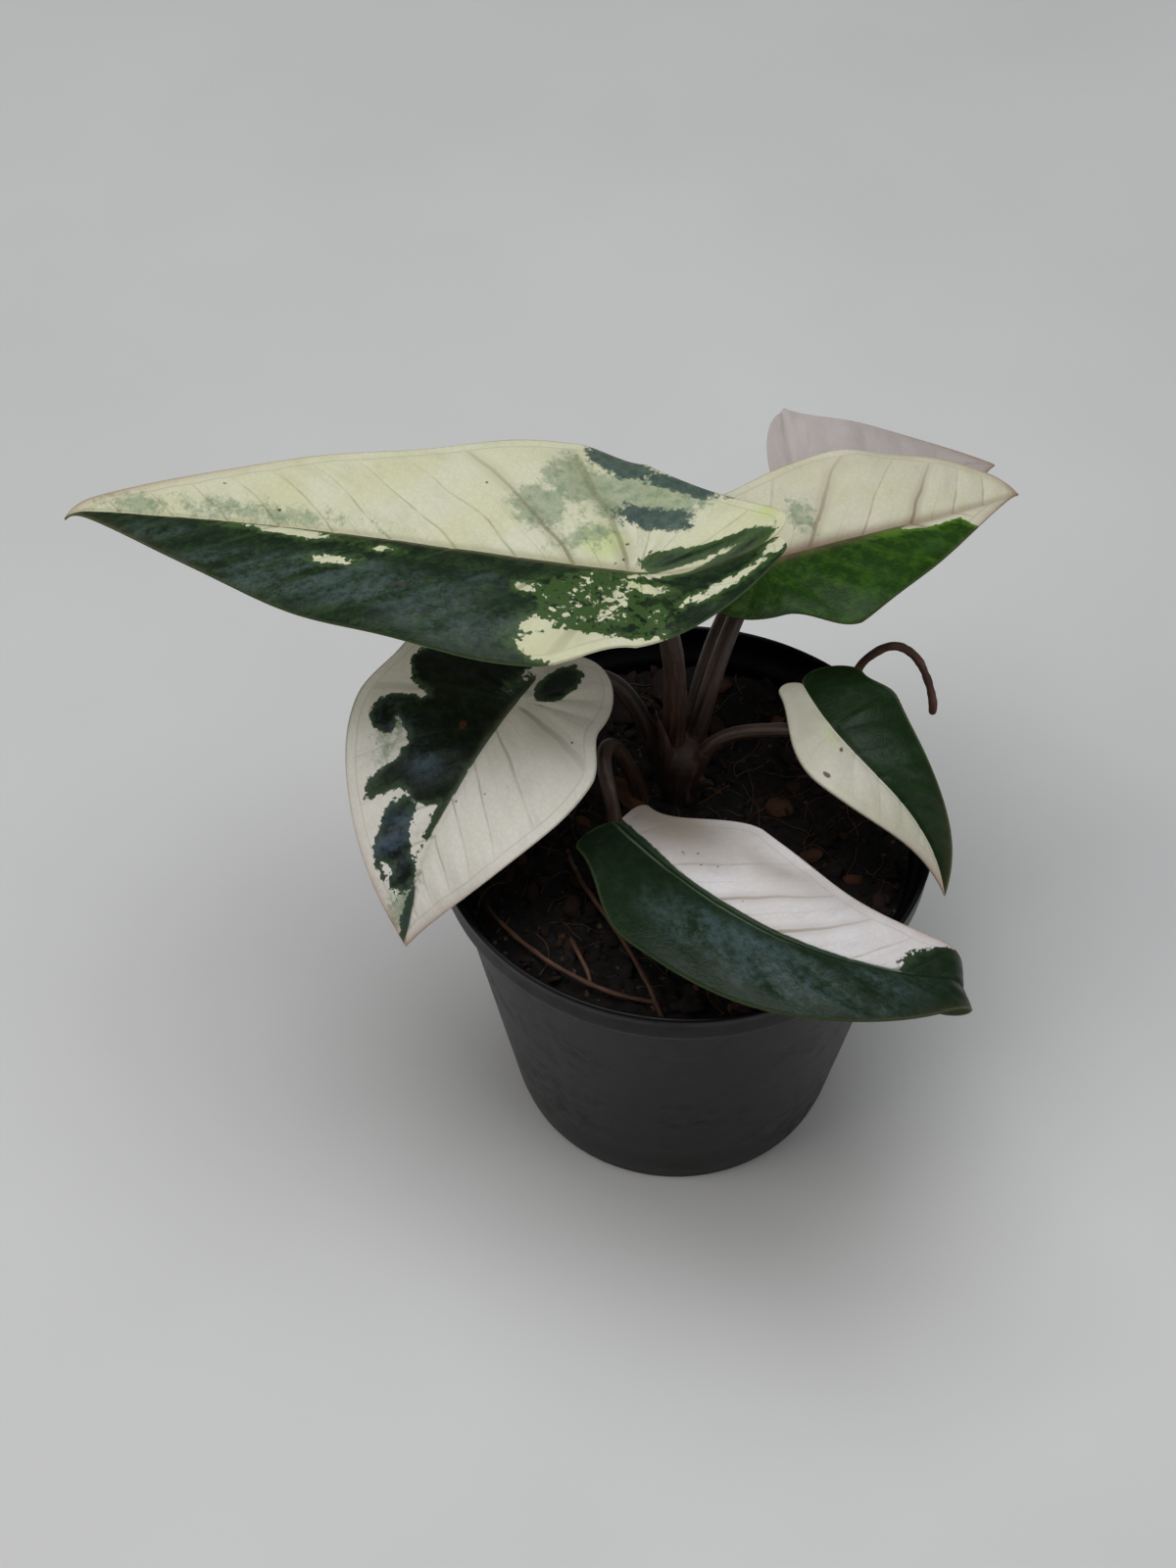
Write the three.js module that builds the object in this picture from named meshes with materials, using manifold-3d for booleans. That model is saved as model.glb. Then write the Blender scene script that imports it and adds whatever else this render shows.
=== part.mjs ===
// A small alocasia with half green, half cream leaves, standing in a plastic nursery pot.
// Millimetres, +Z up. The origin is the middle of the pot's flat base.
import * as THREE from 'three';
import { mergeVertices } from 'three/addons/utils/BufferGeometryUtils.js';
import Module from 'manifold-3d';

const wasm = await Module();
wasm.setup();

// Clearance between pieces that touch in the real plant, and round what stands in a hole
const GAP = 0.3;
const HOLE_GAP = 0.35;

// Nursery pot
const POT = {
  height: 90,
  rimRadius: 54,
  lipHeight: 8,
  lipInset: 3.2,
  lipTaper: 0.8,
  edgeRounding: 0.6,
  baseRadius: 37,
  baseBevel: 1.5,
  wall: 1.2,
  floor: 1.6,
  sectors: 48,
};
const DRAIN = { count: 6, radius: 4, circle: 25, sides: 12 };

// Potting mix: level of its surface, the height of its crumbs and the bark chips on it
const MIX = { level: 82, edgeDrop: 1.5, crumb: 0.9, rings: 7, sectors: 34 };
const CHIPS = {
  count: 48,
  smallest: 1.3,
  largest: 3.2,
  longest: 1.8,
  flatness: 0.55,
  tilt: 0.5,
  lift: 0.2,
  wallMargin: 4,
  stemMargin: 10,
  seed: 11,
};

// Short stem that the petioles grow from
const STEM = { x: 0, y: 12.6, foot: 73, footRadius: 4, topRadius: 5.2, top: 93, sides: 14 };

// Where the petioles part from the stem
const PARTING = 97;

const BLADE = { thickness: 0.8, keelHeight: 1.3, keelShare: 0.06 };

// How far under the blade's upper face a petiole's middle ends, and how finely its tube is split
const PETIOLE = { drop: 1.5, steps: 12, sides: 8 };

// Each leaf: four points on its midrib from its base to the tip, how the tip curls under, how far
// the lobes behind the base lift and swing to the left, how far they are joined, and its two half
// blades. A half blade has a half width at the base, its widest half width and the share of the
// length where that is, the fullness from there to the tip, and its lobe's length and offset.
// Left and right are as seen from above, looking from the base to the tip.
// A petiole rises through three points, in the stem and on its way, and ends under the midrib.
const LEAVES = {
  long: {
    midrib: [[-10, 14, 150], [-48, 19, 152], [-84, 28, 149], [-124, 39, 142]],
    curl: { length: 8, degrees: 45 },
    lobeLift: 10,
    lobeSwing: -7,
    joined: 25,
    ripple: { height: 1.0, cycles: 3, phase: 1.0 },
    left: { base: 22, widest: 28.5, place: 0.14, fullness: 2.5, drawn: 1.4, lobe: 28, offset: 6, round: 1 },
    right: { base: 29, widest: 34, place: 0.13, fullness: 1.1, drawn: 0.9, lobe: 28, offset: 3, round: 1 },
    rise: 12,
    droop: 22,
    rows: 20,
    colour: 0x37503a,
    petiole: { rise: [[-1, 13, 80], [-2, 13, 104], [-3, 13, 127]], end: 0, radius: 2.5 },
  },
  right: {
    midrib: [[16, 39, 126], [34, 45, 127], [53, 54, 124], [73, 68, 117]],
    curl: { length: 4, degrees: 20 },
    lobeLift: 0,
    lobeSwing: 0,
    joined: 10,
    ripple: { height: 0.8, cycles: 2.5, phase: 0.4 },
    left: { base: 21, widest: 26, place: 0.32, fullness: 2, drawn: 0.65, lobe: 18, offset: 8, round: 2 },
    right: { base: 16.5, widest: 23, place: 0.2, fullness: 1.15, drawn: 1.35, lobe: 14, offset: 4, round: 2 },
    rise: 11,
    droop: 22,
    rows: 13,
    colour: 0xa9b27a,
    petiole: { rise: [[1, 13.5, 80], [4, 17, 101], [9, 27, 114]], end: 0, radius: 2.1 },
  },
  back: {
    midrib: [[26, 69, 118], [41, 74, 119], [57, 83, 112], [72, 91, 104]],
    curl: { length: 2, degrees: 10 },
    lobeLift: 0,
    lobeSwing: 0,
    joined: 3,
    ripple: { height: 0.7, cycles: 2, phase: 2.2 },
    left: { base: 23, widest: 23.5, place: 0.08, fullness: 0.9, drawn: 1, lobe: 5, offset: 8, round: 2 },
    right: { base: 18, widest: 20, place: 0.25, fullness: 1.5, drawn: 1, lobe: 6, offset: 6, round: 2 },
    rise: 12,
    droop: 20,
    rows: 12,
    colour: 0xd9cfc4,
    petiole: { rise: [[1, 14.5, 80], [4, 26, 102], [13, 46, 112]], end: 0, radius: 1.9 },
  },
  left: {
    midrib: [[-35, 9, 116], [-45, -8, 114], [-53, -21, 104], [-58, -32, 88]],
    curl: { length: 2, degrees: 10 },
    lobeLift: 0,
    lobeSwing: 0,
    joined: 15,
    ripple: { height: 0.7, cycles: 2, phase: 0.2 },
    left: { base: 19.5, widest: 25, place: 0.2, fullness: 1.7, drawn: 1.15, lobe: 18, offset: 6, round: 2 },
    right: { base: 28.5, widest: 30.5, place: 0.22, fullness: 1.65, drawn: 1.2, lobe: 18, offset: 9, round: 2 },
    rise: 12,
    droop: 20,
    rows: 13,
    colour: 0xd6d3c0,
    petiole: { rise: [[-2.5, 13, 84], [-9, 16.5, 102], [-18, 19, 112]], end: 0, radius: 2 },
  },
  front: {
    midrib: [[-13, -10, 98], [6, -31, 100], [27, -44, 100], [51, -47, 96]],
    curl: { length: 18, degrees: 150 },
    lobeLift: 0,
    lobeSwing: 0,
    joined: 1,
    ripple: { height: 0.6, cycles: 2.5, phase: 1.4 },
    left: { base: 7, widest: 20.5, place: 0.24, fullness: 1.2, drawn: 0.7, lobe: 1.8, offset: 4, round: 2 },
    right: { base: 12, widest: 20.5, place: 0.24, fullness: 2.1, drawn: 1, lobe: 2.5, offset: 5, round: 2 },
    rise: 12,
    droop: 20,
    rows: 16,
    colour: 0x3c5442,
    petiole: { rise: [[-7, 9, 76], [-14, 8, 101], [-17, 0, 107]], end: 1, radius: 1.8 },
  },
  small: {
    midrib: [[26, 17, 110], [36, -1, 110], [47, -11, 103], [54, -21, 91]],
    curl: { length: 2, degrees: 10 },
    lobeLift: 0,
    lobeSwing: 0,
    joined: 2,
    ripple: { height: 0.5, cycles: 2, phase: 0.8 },
    left: { base: 13, widest: 16.5, place: 0.2, fullness: 1.5, drawn: 1.1, lobe: 5, offset: 4, round: 2 },
    right: { base: 6, widest: 12, place: 0.35, fullness: 1.4, drawn: 1.2, lobe: 3, offset: 2.5, round: 2 },
    rise: 12,
    droop: 20,
    rows: 12,
    colour: 0x39543a,
    petiole: { rise: [[2, 11.5, 80], [5, 10.5, 98], [14, 11.5, 103]], end: 12, radius: 1.7 },
  },
};

// Rows where the lobes are grown together and where they are free, and the columns' places
// across a half blade
const JOINED_ROWS = 3;
const LOBE_ROWS = 4;
const COLUMNS = [0, BLADE.keelShare, 0.35, 0.68, 1];

// Roots that show on the mix, each with its branches, and the thick one that arches over the rim
const ROOT_STEPS = 14;
const ROOT_SIDES = 6;
const ROOTS = {
  front_root: {
    radius: 0.55,
    runs: [
      [[-43, -16, 80], [-35, -29, 84], [-20, -41, 84.5], [0, -43, 80]],
      [[-24, -26, 80], [-23, -32, 84.5], [-21, -37, 85], [-20, -41, 84.5]],
    ],
  },
  side_root: {
    radius: 0.55,
    runs: [[[-25, 0, 80], [-21, -17, 86], [-13, -33, 88.5], [-5, -48, 81]]],
  },
  arching_root: {
    radius: 1,
    runs: [[[34, 25, 76], [39.5, 34, 98.5], [49.5, 36, 101.5], [56, 31, 87]]],
  },
};

// Pale pointed remains of old leaf sheaths: foot, tip and foot radius
const OLD_SHEATHS = [
  { foot: [-2.5, 10.5, 87], tip: [-5.5, 9, 110], radius: 1.9 },
  { foot: [2, 10.5, 86], tip: [6.5, 5, 93], radius: 1.6 },
  { foot: [-2.5, 12.5, 86], tip: [-9.5, 15, 94], radius: 1.5 },
];

const vec = ([x, y, z]) => new THREE.Vector3(x, y, z);
const degrees = THREE.MathUtils.degToRad;
const clamp = THREE.MathUtils.clamp;

// Small repeatable random number source
function seededRandom(seed) {
  let state = seed;
  return () => {
    state = (state * 16807) % 2147483647;
    return state / 2147483647;
  };
}

// Smooth curve through four points at equal steps
function curveThrough(points) {
  const [a, b, c, d] = points.map(vec);
  const blend = (...weights) => {
    const sum = new THREE.Vector3();
    [a, b, c, d].forEach((point, i) => sum.addScaledVector(point, weights[i] / 6));
    return sum;
  };
  return new THREE.CubicBezierCurve3(a, blend(-5, 18, -9, 2), blend(2, -9, 18, -5), d);
}

// The same curve with both ends run on, for a hole that clears what stands in it
function lengthened(curve, extra) {
  const start = curve.v0.clone().addScaledVector(curve.getTangent(0), -extra);
  const end = curve.v3.clone().addScaledVector(curve.getTangent(1), extra);
  return new THREE.CubicBezierCurve3(start, curve.v1, curve.v2, end);
}

// Solid from a closed triangle mesh
function solidFrom(geometry) {
  const bare = geometry.clone();
  bare.deleteAttribute('normal');
  bare.deleteAttribute('uv');
  const merged = mergeVertices(bare, 1e-4);
  const index = merged.index.array;
  const triangles = [];
  for (let i = 0; i < index.length; i += 3) {
    const [a, b, c] = index.slice(i, i + 3);
    if (a !== b && b !== c && c !== a) triangles.push(a, b, c);
  }
  return new wasm.Manifold(new wasm.Mesh({
    numProp: 3,
    vertProperties: new Float32Array(merged.attributes.position.array),
    triVerts: new Uint32Array(triangles),
  }));
}

function join(solids) {
  return solids.reduce((sum, solid) => sum.add(solid));
}

// The largest body of a solid, without loose scraps
function largestBody(solid) {
  const bodies = solid.decompose();
  return bodies.reduce((best, body) => (body.volume() > best.volume() ? body : best));
}

// The body that reaches lowest
function lowestBody(solid) {
  const foot = (body) => body.boundingBox().min[2];
  return solid.decompose().reduce((best, body) => (foot(body) < foot(best) ? body : best));
}

// Closed tube of a regular section along a curve
function tube(curve, radius, steps, sides) {
  const section = new THREE.Shape();
  for (let i = 0; i < sides; i += 1) {
    const angle = (i / sides) * 2 * Math.PI;
    const x = radius * Math.cos(angle);
    const y = radius * Math.sin(angle);
    if (i === 0) section.moveTo(x, y);
    else section.lineTo(x, y);
  }
  return solidFrom(new THREE.ExtrudeGeometry(section, { steps, bevelEnabled: false, extrudePath: curve }));
}

// Turned solid from a profile of [radius, height] points, standing on +Z
function turned(profile, sectors) {
  const points = profile.map(([radius, height]) => new THREE.Vector2(radius, height));
  return new THREE.LatheGeometry(points, sectors).rotateX(Math.PI / 2);
}

// Upright cylinder or cone between two levels
function upright(radiusTop, radiusFoot, foot, top, sides) {
  const geometry = new THREE.CylinderGeometry(radiusTop, radiusFoot, top - foot, sides);
  return geometry.rotateX(Math.PI / 2).translate(0, 0, (foot + top) / 2);
}

// A block that holds everything above or below one level
function halfSpace(level, side) {
  const beyondPlant = 600;
  const block = new THREE.BoxGeometry(beyondPlant, beyondPlant, beyondPlant);
  return solidFrom(block.translate(0, 0, level + (side * beyondPlant) / 2));
}

// Named mesh of a solid, with its own material
function part(name, solid, { colour, roughness }) {
  const mesh = solid.getMesh();
  const geometry = new THREE.BufferGeometry();
  geometry.setAttribute('position', new THREE.BufferAttribute(new Float32Array(mesh.vertProperties), 3));
  geometry.setIndex(new THREE.BufferAttribute(new Uint32Array(mesh.triVerts), 1));
  geometry.computeVertexNormals();
  const material = new THREE.MeshStandardMaterial({ color: colour, roughness, metalness: 0 });
  const result = new THREE.Mesh(geometry, material);
  result.name = name;
  return result;
}

const bodyRadius = POT.rimRadius - POT.lipInset;
const lipFoot = POT.height - POT.lipHeight;
const outerRadiusAt = (z) => POT.baseRadius + ((bodyRadius - POT.baseRadius) * z) / lipFoot;
const innerRadiusAt = (z) => outerRadiusAt(z) - POT.wall;

// Thin shell with an outward lip, and a ring of drain holes in its floor
function buildPot() {
  const { height, rimRadius, lipTaper, edgeRounding, baseRadius, baseBevel, wall, floor, sectors } = POT;
  const shell = solidFrom(turned([
    [0, 0],
    [baseRadius - baseBevel, 0],
    [baseRadius, baseBevel],
    [bodyRadius, lipFoot],
    [rimRadius - lipTaper, lipFoot],
    [rimRadius, height - edgeRounding],
    [rimRadius - edgeRounding, height],
    [rimRadius - wall, height],
    [rimRadius - wall - edgeRounding, height - edgeRounding],
    [rimRadius - wall - lipTaper, lipFoot + wall],
    [bodyRadius - wall, lipFoot],
    [innerRadiusAt(floor), floor],
    [0, floor],
  ], sectors));
  const holes = [];
  for (let i = 0; i < DRAIN.count; i += 1) {
    const angle = ((i + 0.5) / DRAIN.count) * 2 * Math.PI;
    const hole = upright(DRAIN.radius, DRAIN.radius, -1, floor + 1, DRAIN.sides);
    holes.push(solidFrom(hole.translate(DRAIN.circle * Math.cos(angle), DRAIN.circle * Math.sin(angle), 0)));
  }
  return shell.subtract(join(holes));
}

// Height of the crumbs at a place on the mix
function crumbHeight(x, y) {
  const coarse = Math.sin(x * 0.31 + 1.3) * Math.cos(y * 0.27 - 0.4);
  const middling = Math.sin(x * 0.83 + y * 0.47) * Math.cos(y * 0.91 - x * 0.22);
  const fine = Math.sin(x * 1.7 - y * 1.1 + 2) * Math.sin(y * 1.9 + 0.7);
  return MIX.crumb * (0.7 * coarse + 0.6 * middling + 0.4 * fine);
}

// Bark chips lie on the mix, sunk by about half
function buildChips() {
  const random = seededRandom(CHIPS.seed);
  const between = (low, high) => low + (high - low) * random();
  const reach = innerRadiusAt(MIX.level) - CHIPS.wallMargin;
  const chips = [];
  while (chips.length < CHIPS.count) {
    const x = between(-reach, reach);
    const y = between(-reach, reach);
    const size = between(CHIPS.smallest, CHIPS.largest);
    const { tilt, longest, flatness, lift, stemMargin } = CHIPS;
    const spin = [between(-tilt, tilt), between(-tilt, tilt), between(0, 2 * Math.PI)];
    const length = between(1, longest);
    const clearOfStem = Math.hypot(x - STEM.x, y - STEM.y) > stemMargin;
    if (Math.hypot(x, y) < reach && clearOfStem) {
      const chip = new THREE.IcosahedronGeometry(1, 0)
        .scale(size * length, size, size * flatness)
        .rotateX(spin[0])
        .rotateY(spin[1])
        .rotateZ(spin[2])
        .translate(x, y, MIX.level + crumbHeight(x, y) + lift * size);
      chips.push(solidFrom(chip));
    }
  }
  return join(chips);
}

// The mix fills the pot and has a plain hole for each stem and root
function buildMix(holes) {
  const foot = POT.floor + GAP;
  const edge = MIX.level - MIX.edgeDrop;
  const topRadius = innerRadiusAt(edge) - GAP;
  const profile = [[0, foot], [innerRadiusAt(foot) - GAP, foot], [topRadius, edge]];
  for (let ring = MIX.rings - 1; ring >= 0; ring -= 1) {
    profile.push([(topRadius * ring) / MIX.rings, MIX.level]);
  }
  const geometry = turned(profile, MIX.sectors);
  const position = geometry.attributes.position;
  for (let i = 0; i < position.count; i += 1) {
    if (position.getZ(i) > edge + 0.01) {
      position.setZ(i, MIX.level + crumbHeight(position.getX(i), position.getY(i)));
    }
  }
  return largestBody(solidFrom(geometry).add(buildChips()).subtract(join(holes)));
}

// Everything about one leaf blade's surface, from its driving dimensions
class BladeSurface {
  constructor(leaf) {
    this.leaf = leaf;
    this.curve = curveThrough(leaf.midrib);
    this.straight = this.curve.getLength();
    this.length = this.straight + leaf.curl.length;
    this.longestLobe = Math.max(leaf.left.lobe, leaf.right.lobe);
  }

  // Half width at a distance along the midrib; behind the junction it is the lobe's outer edge
  outer(half, along) {
    if (along < 0) {
      const back = clamp(-along / half.lobe, 0, 1) ** half.round;
      return half.offset + (half.base - half.offset) * (1 - back) ** (1 - half.round / 4);
    }
    const share = along / this.length;
    const swell = (1 - Math.cos(Math.PI * clamp(share / half.place, 0, 1))) / 2;
    const past = clamp((share - half.place) / (1 - half.place), 0, 1);
    return (half.base + (half.widest - half.base) * swell) * (1 - past ** half.fullness) ** half.drawn;
  }

  // The edge of the notch between the free ends of the two lobes
  inner(half, along) {
    const { joined } = this.leaf;
    if (along >= -joined) return 0;
    const share = clamp((-along - joined) / (half.lobe - joined), 0, 1);
    return half.offset * (1 - Math.sqrt(1 - share ** 2));
  }

  // Point on the midrib, with the directions along it, to its left and up from the blade
  frame(along) {
    const { curl, lobeLift, lobeSwing } = this.leaf;
    const share = clamp(along / this.straight, 0, 1);
    const forward = this.curve.getTangentAt(share);
    const left = new THREE.Vector3(0, 0, 1).cross(forward).normalize();
    const up = forward.clone().cross(left);
    const turn = degrees(curl.degrees) * clamp((along - this.straight) / curl.length, 0, 1);
    const radius = curl.length / degrees(curl.degrees);
    const point = this.curve.getPointAt(share)
      .addScaledVector(forward, radius * Math.sin(turn))
      .addScaledVector(up, -radius * (1 - Math.cos(turn)));
    const turnedForward = forward.clone().multiplyScalar(Math.cos(turn)).addScaledVector(up, -Math.sin(turn));
    const turnedUp = up.multiplyScalar(Math.cos(turn)).addScaledVector(forward, Math.sin(turn));
    const back = Math.min(along, 0);
    const bend = (back / this.longestLobe) ** 2;
    point.addScaledVector(turnedForward, back)
      .addScaledVector(turnedUp, lobeLift * bend)
      .addScaledVector(left, lobeSwing * bend);
    return { point, left, up: turnedUp };
  }

  // Point on the upper face and the direction out of it, at a distance across from the midrib
  place(side, along, across) {
    const half = side > 0 ? this.leaf.left : this.leaf.right;
    const { point, left, up } = this.frame(along);
    const rise = degrees(this.leaf.rise);
    const bend = degrees(this.leaf.droop) / half.widest;
    const angle = rise - bend * across;
    const { height, cycles, phase } = this.leaf.ripple;
    const wave = Math.sin((2 * Math.PI * cycles * along) / this.length + phase + (side > 0 ? 0 : 2));
    const outward = (Math.sin(rise) - Math.sin(angle)) / bend;
    const lift = (Math.cos(angle) - Math.cos(rise)) / bend + height * wave * (across / half.widest) ** 2;
    point.addScaledVector(left, side * outward).addScaledVector(up, lift);
    const normal = up.clone().multiplyScalar(Math.cos(angle)).addScaledVector(left, -side * Math.sin(angle));
    return { point, normal };
  }
}

// Blade with both faces split into the same triangles. Its keel runs under the midrib.
// "swollen" makes it thicker on both faces, to cut clearance for the petiole.
function buildBlade(leaf, swollen = 0) {
  const surface = new BladeSurface(leaf);
  const upper = [];
  const lower = [];
  const triangles = [];
  const addPoint = (side, along, across) => {
    const { point, normal } = surface.place(side, along, across);
    const keelShare = across === 0 && along >= leaf.petiole.end ? 1 - along / surface.length : 0;
    const depth = BLADE.thickness + BLADE.keelHeight * keelShare + swollen;
    upper.push(point.clone().addScaledVector(normal, swollen));
    lower.push(point.clone().addScaledVector(normal, -depth));
    return upper.length - 1;
  };
  const alongAt = (row, half) => {
    if (row >= 0) return (surface.length * row) / leaf.rows;
    if (row >= -JOINED_ROWS) return (leaf.joined * row) / JOINED_ROWS;
    const free = (-row - JOINED_ROWS) / LOBE_ROWS;
    return -leaf.joined - (half.lobe - leaf.joined) * Math.sin((Math.PI / 2) * free);
  };
  const middle = new Map();
  for (let row = -JOINED_ROWS; row <= leaf.rows; row += 1) {
    middle.set(row, addPoint(1, alongAt(row, leaf.left), 0));
  }
  for (const side of [1, -1]) {
    const half = side > 0 ? leaf.left : leaf.right;
    const grid = [];
    for (let row = -JOINED_ROWS - LOBE_ROWS; row <= leaf.rows; row += 1) {
      const along = alongAt(row, half);
      const outer = surface.outer(half, along);
      const inner = surface.inner(half, along);
      const ends = row === leaf.rows || row === -JOINED_ROWS - LOBE_ROWS;
      const first = middle.has(row) ? middle.get(row) : addPoint(side, along, inner);
      grid.push(COLUMNS.map((share, column) => {
        if (ends || column === 0) return first;
        return addPoint(side, along, inner + (outer - inner) * share);
      }));
    }
    const addTriangle = (a, b, c) => {
      if (a !== b && b !== c && c !== a) triangles.push(side > 0 ? [a, b, c] : [a, c, b]);
    };
    for (let row = 0; row + 1 < grid.length; row += 1) {
      for (let column = 0; column + 1 < COLUMNS.length; column += 1) {
        const near = grid[row];
        const far = grid[row + 1];
        addTriangle(near[column], far[column], far[column + 1]);
        addTriangle(near[column], far[column + 1], near[column + 1]);
      }
    }
  }
  return closedPlate(upper, lower, triangles);
}

// Closed body between two faces that share their triangles, with walls along every open edge
function closedPlate(upper, lower, triangles) {
  const count = upper.length;
  const directed = new Set(triangles.flatMap(([a, b, c]) => [`${a},${b}`, `${b},${c}`, `${c},${a}`]));
  const index = [];
  for (const [a, b, c] of triangles) {
    index.push(a, b, c, a + count, c + count, b + count);
    for (const [from, to] of [[a, b], [b, c], [c, a]]) {
      if (!directed.has(`${to},${from}`)) {
        index.push(to, from, from + count, to, from + count, to + count);
      }
    }
  }
  const geometry = new THREE.BufferGeometry().setFromPoints([...upper, ...lower]);
  geometry.setIndex(index);
  return solidFrom(geometry);
}

// The stem's plain foot, or with a clearance the hole that it stands in
function buildStemFoot(clearance) {
  const { x, y, foot, footRadius, top, topRadius, sides } = STEM;
  const cone = upright(topRadius + clearance, footRadius + clearance, foot - clearance, top, sides);
  return solidFrom(cone.translate(x, y, 0));
}

function petioleCurve(leaf) {
  const { point, up } = new BladeSurface(leaf).frame(leaf.petiole.end);
  point.addScaledVector(up, -PETIOLE.drop);
  return curveThrough([...leaf.petiole.rise, point.toArray()]);
}

// Pointed remains of an old leaf sheath, its foot sunk in the stem
function buildSheath({ foot, tip, radius }) {
  const from = vec(foot);
  const along = vec(tip).sub(from);
  const cone = new THREE.ConeGeometry(radius, along.length(), 7).translate(0, along.length() / 2, 0);
  const turn = new THREE.Quaternion().setFromUnitVectors(new THREE.Vector3(0, 1, 0), along.normalize());
  return solidFrom(cone.applyQuaternion(turn).translate(from.x, from.y, from.z));
}

const plant = new THREE.Group();
plant.name = 'potted_alocasia';

const petioleTubes = {};
for (const [name, leaf] of Object.entries(LEAVES)) {
  petioleTubes[name] = tube(petioleCurve(leaf), leaf.petiole.radius, PETIOLE.steps, PETIOLE.sides);
}

// The front leaf's petiole comes out of the mix by itself; the others part from the stem
const ownFoot = 'front';
const frontPetiole = LEAVES[ownFoot].petiole;
const below = halfSpace(PARTING - GAP / 2, -1);
const above = halfSpace(PARTING + GAP / 2, 1);
const bases = Object.keys(LEAVES)
  .filter((name) => name !== ownFoot)
  .map((name) => petioleTubes[name].intersect(below));
const stem = join([buildStemFoot(0), ...bases, ...OLD_SHEATHS.map(buildSheath)]);

const frontHole = lengthened(petioleCurve(LEAVES[ownFoot]), 2 * GAP);
const holes = [
  buildStemFoot(HOLE_GAP),
  tube(frontHole, frontPetiole.radius + HOLE_GAP, PETIOLE.steps, PETIOLE.sides),
];
for (const { radius, runs } of Object.values(ROOTS)) {
  for (const points of runs) {
    holes.push(tube(lengthened(curveThrough(points), 2 * GAP), radius + HOLE_GAP, ROOT_STEPS, ROOT_SIDES));
  }
}

plant.add(part('pot', buildPot(), { colour: 0x0c0c0d, roughness: 0.42 }));
plant.add(part('potting_mix', buildMix(holes), { colour: 0x1d1410, roughness: 0.95 }));
plant.add(part('stem', stem, { colour: 0x4a332b, roughness: 0.6 }));

for (const [name, leaf] of Object.entries(LEAVES)) {
  const whole = name === ownFoot ? petioleTubes[name] : petioleTubes[name].intersect(above);
  const petiole = lowestBody(whole.subtract(buildBlade(leaf, GAP)));
  plant.add(part(`${name}_petiole`, petiole, { colour: 0x5a4038, roughness: 0.55 }));
  plant.add(part(`${name}_blade`, buildBlade(leaf), { colour: leaf.colour, roughness: 0.45 }));
}

for (const [name, { radius, runs }] of Object.entries(ROOTS)) {
  const root = join(runs.map((points) => tube(curveThrough(points), radius, ROOT_STEPS, ROOT_SIDES)));
  plant.add(part(name, root, { colour: 0x6b4128, roughness: 0.8 }));
}

export default plant;
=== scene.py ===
"""Looks of a young alocasia with half green, half cream leaves in a black nursery pot.

Each piece stands for one solid of the frame and keeps its place and form. Lengths in this
script are millimetres, and MM turns them into Blender's metres as a mesh is made.
"""

import math
import random
from dataclasses import dataclass, field

import bmesh
import bpy
import numpy as np
from mathutils import Euler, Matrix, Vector, noise


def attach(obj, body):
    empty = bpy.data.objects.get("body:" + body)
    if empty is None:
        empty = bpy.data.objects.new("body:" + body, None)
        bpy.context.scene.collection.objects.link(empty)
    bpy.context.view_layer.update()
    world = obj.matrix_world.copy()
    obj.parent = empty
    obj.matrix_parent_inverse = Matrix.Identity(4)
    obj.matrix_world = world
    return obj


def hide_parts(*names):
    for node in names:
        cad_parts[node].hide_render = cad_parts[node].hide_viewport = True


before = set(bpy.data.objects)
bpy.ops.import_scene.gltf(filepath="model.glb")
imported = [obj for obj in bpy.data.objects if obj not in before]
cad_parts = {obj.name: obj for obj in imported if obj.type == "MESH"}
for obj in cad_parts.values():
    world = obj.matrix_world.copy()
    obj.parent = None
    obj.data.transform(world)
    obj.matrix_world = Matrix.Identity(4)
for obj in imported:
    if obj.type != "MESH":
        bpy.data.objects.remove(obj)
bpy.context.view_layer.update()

MM = 0.001


# Driving dimensions of the leaves, with forms the same as in the part, and their colours


@dataclass
class Half:
    """One side of a blade. Its green field is above 0 where the blade is green."""

    base: float
    widest: float
    place: float
    fullness: float
    drawn: float
    lobe: float
    offset: float
    round: float
    green: float = -8.0


@dataclass
class Patch:
    """An ellipse of colour on a blade. Across is above 0 on the left half, and turn is in degrees."""

    kind: str
    along: float
    across: float
    length: float
    width: float
    turn: float = 0.0
    ragged: float = 1.5
    one_half: bool = False

    def depth(self, along, across):
        """How far inside its edge each place is, about in millimetres."""
        turn = math.radians(self.turn)
        ahead, aside = along - self.along, across - self.across
        u = ahead * math.cos(turn) + aside * math.sin(turn)
        v = aside * math.cos(turn) - ahead * math.sin(turn)
        depth = (1 - np.hypot(u / self.length, v / self.width)) * min(self.length, self.width)
        off_midrib = across if self.across > 0 else -across
        return np.minimum(depth, 1.5 * off_midrib) if self.one_half else depth


@dataclass
class Paint:
    """Colours of one blade, as sRGB from 0 to 255, and how much there is of some of them."""

    cream: tuple = (222, 220, 184)
    pale: tuple = (226, 224, 202)
    deep: tuple = (20, 36, 20)
    mid: tuple = (62, 86, 44)
    # Painted sheen: bluish grey that stands for the soft light's reflection on the gloss
    painted_sheen: tuple = (78, 94, 90)
    veil: tuple = (136, 152, 122)
    shade: tuple = (54, 75, 72)
    veil_dark: tuple = (82, 102, 94)
    rib: tuple = (150, 142, 104)
    vein: tuple = (112, 108, 70)
    blush: tuple = (150, 112, 92)
    # Painted shade: brownish grey where the blade lies in shade or under another leaf's shadow
    painted_shade: tuple = (132, 120, 104)
    ragged: float = 1.2
    clouds: float = 0.5
    flecks: float = 0.0
    specks: float = 0.35
    ribbing: float = 0.6
    veining: float = 0.65
    rib_width: float = 1.15


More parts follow.
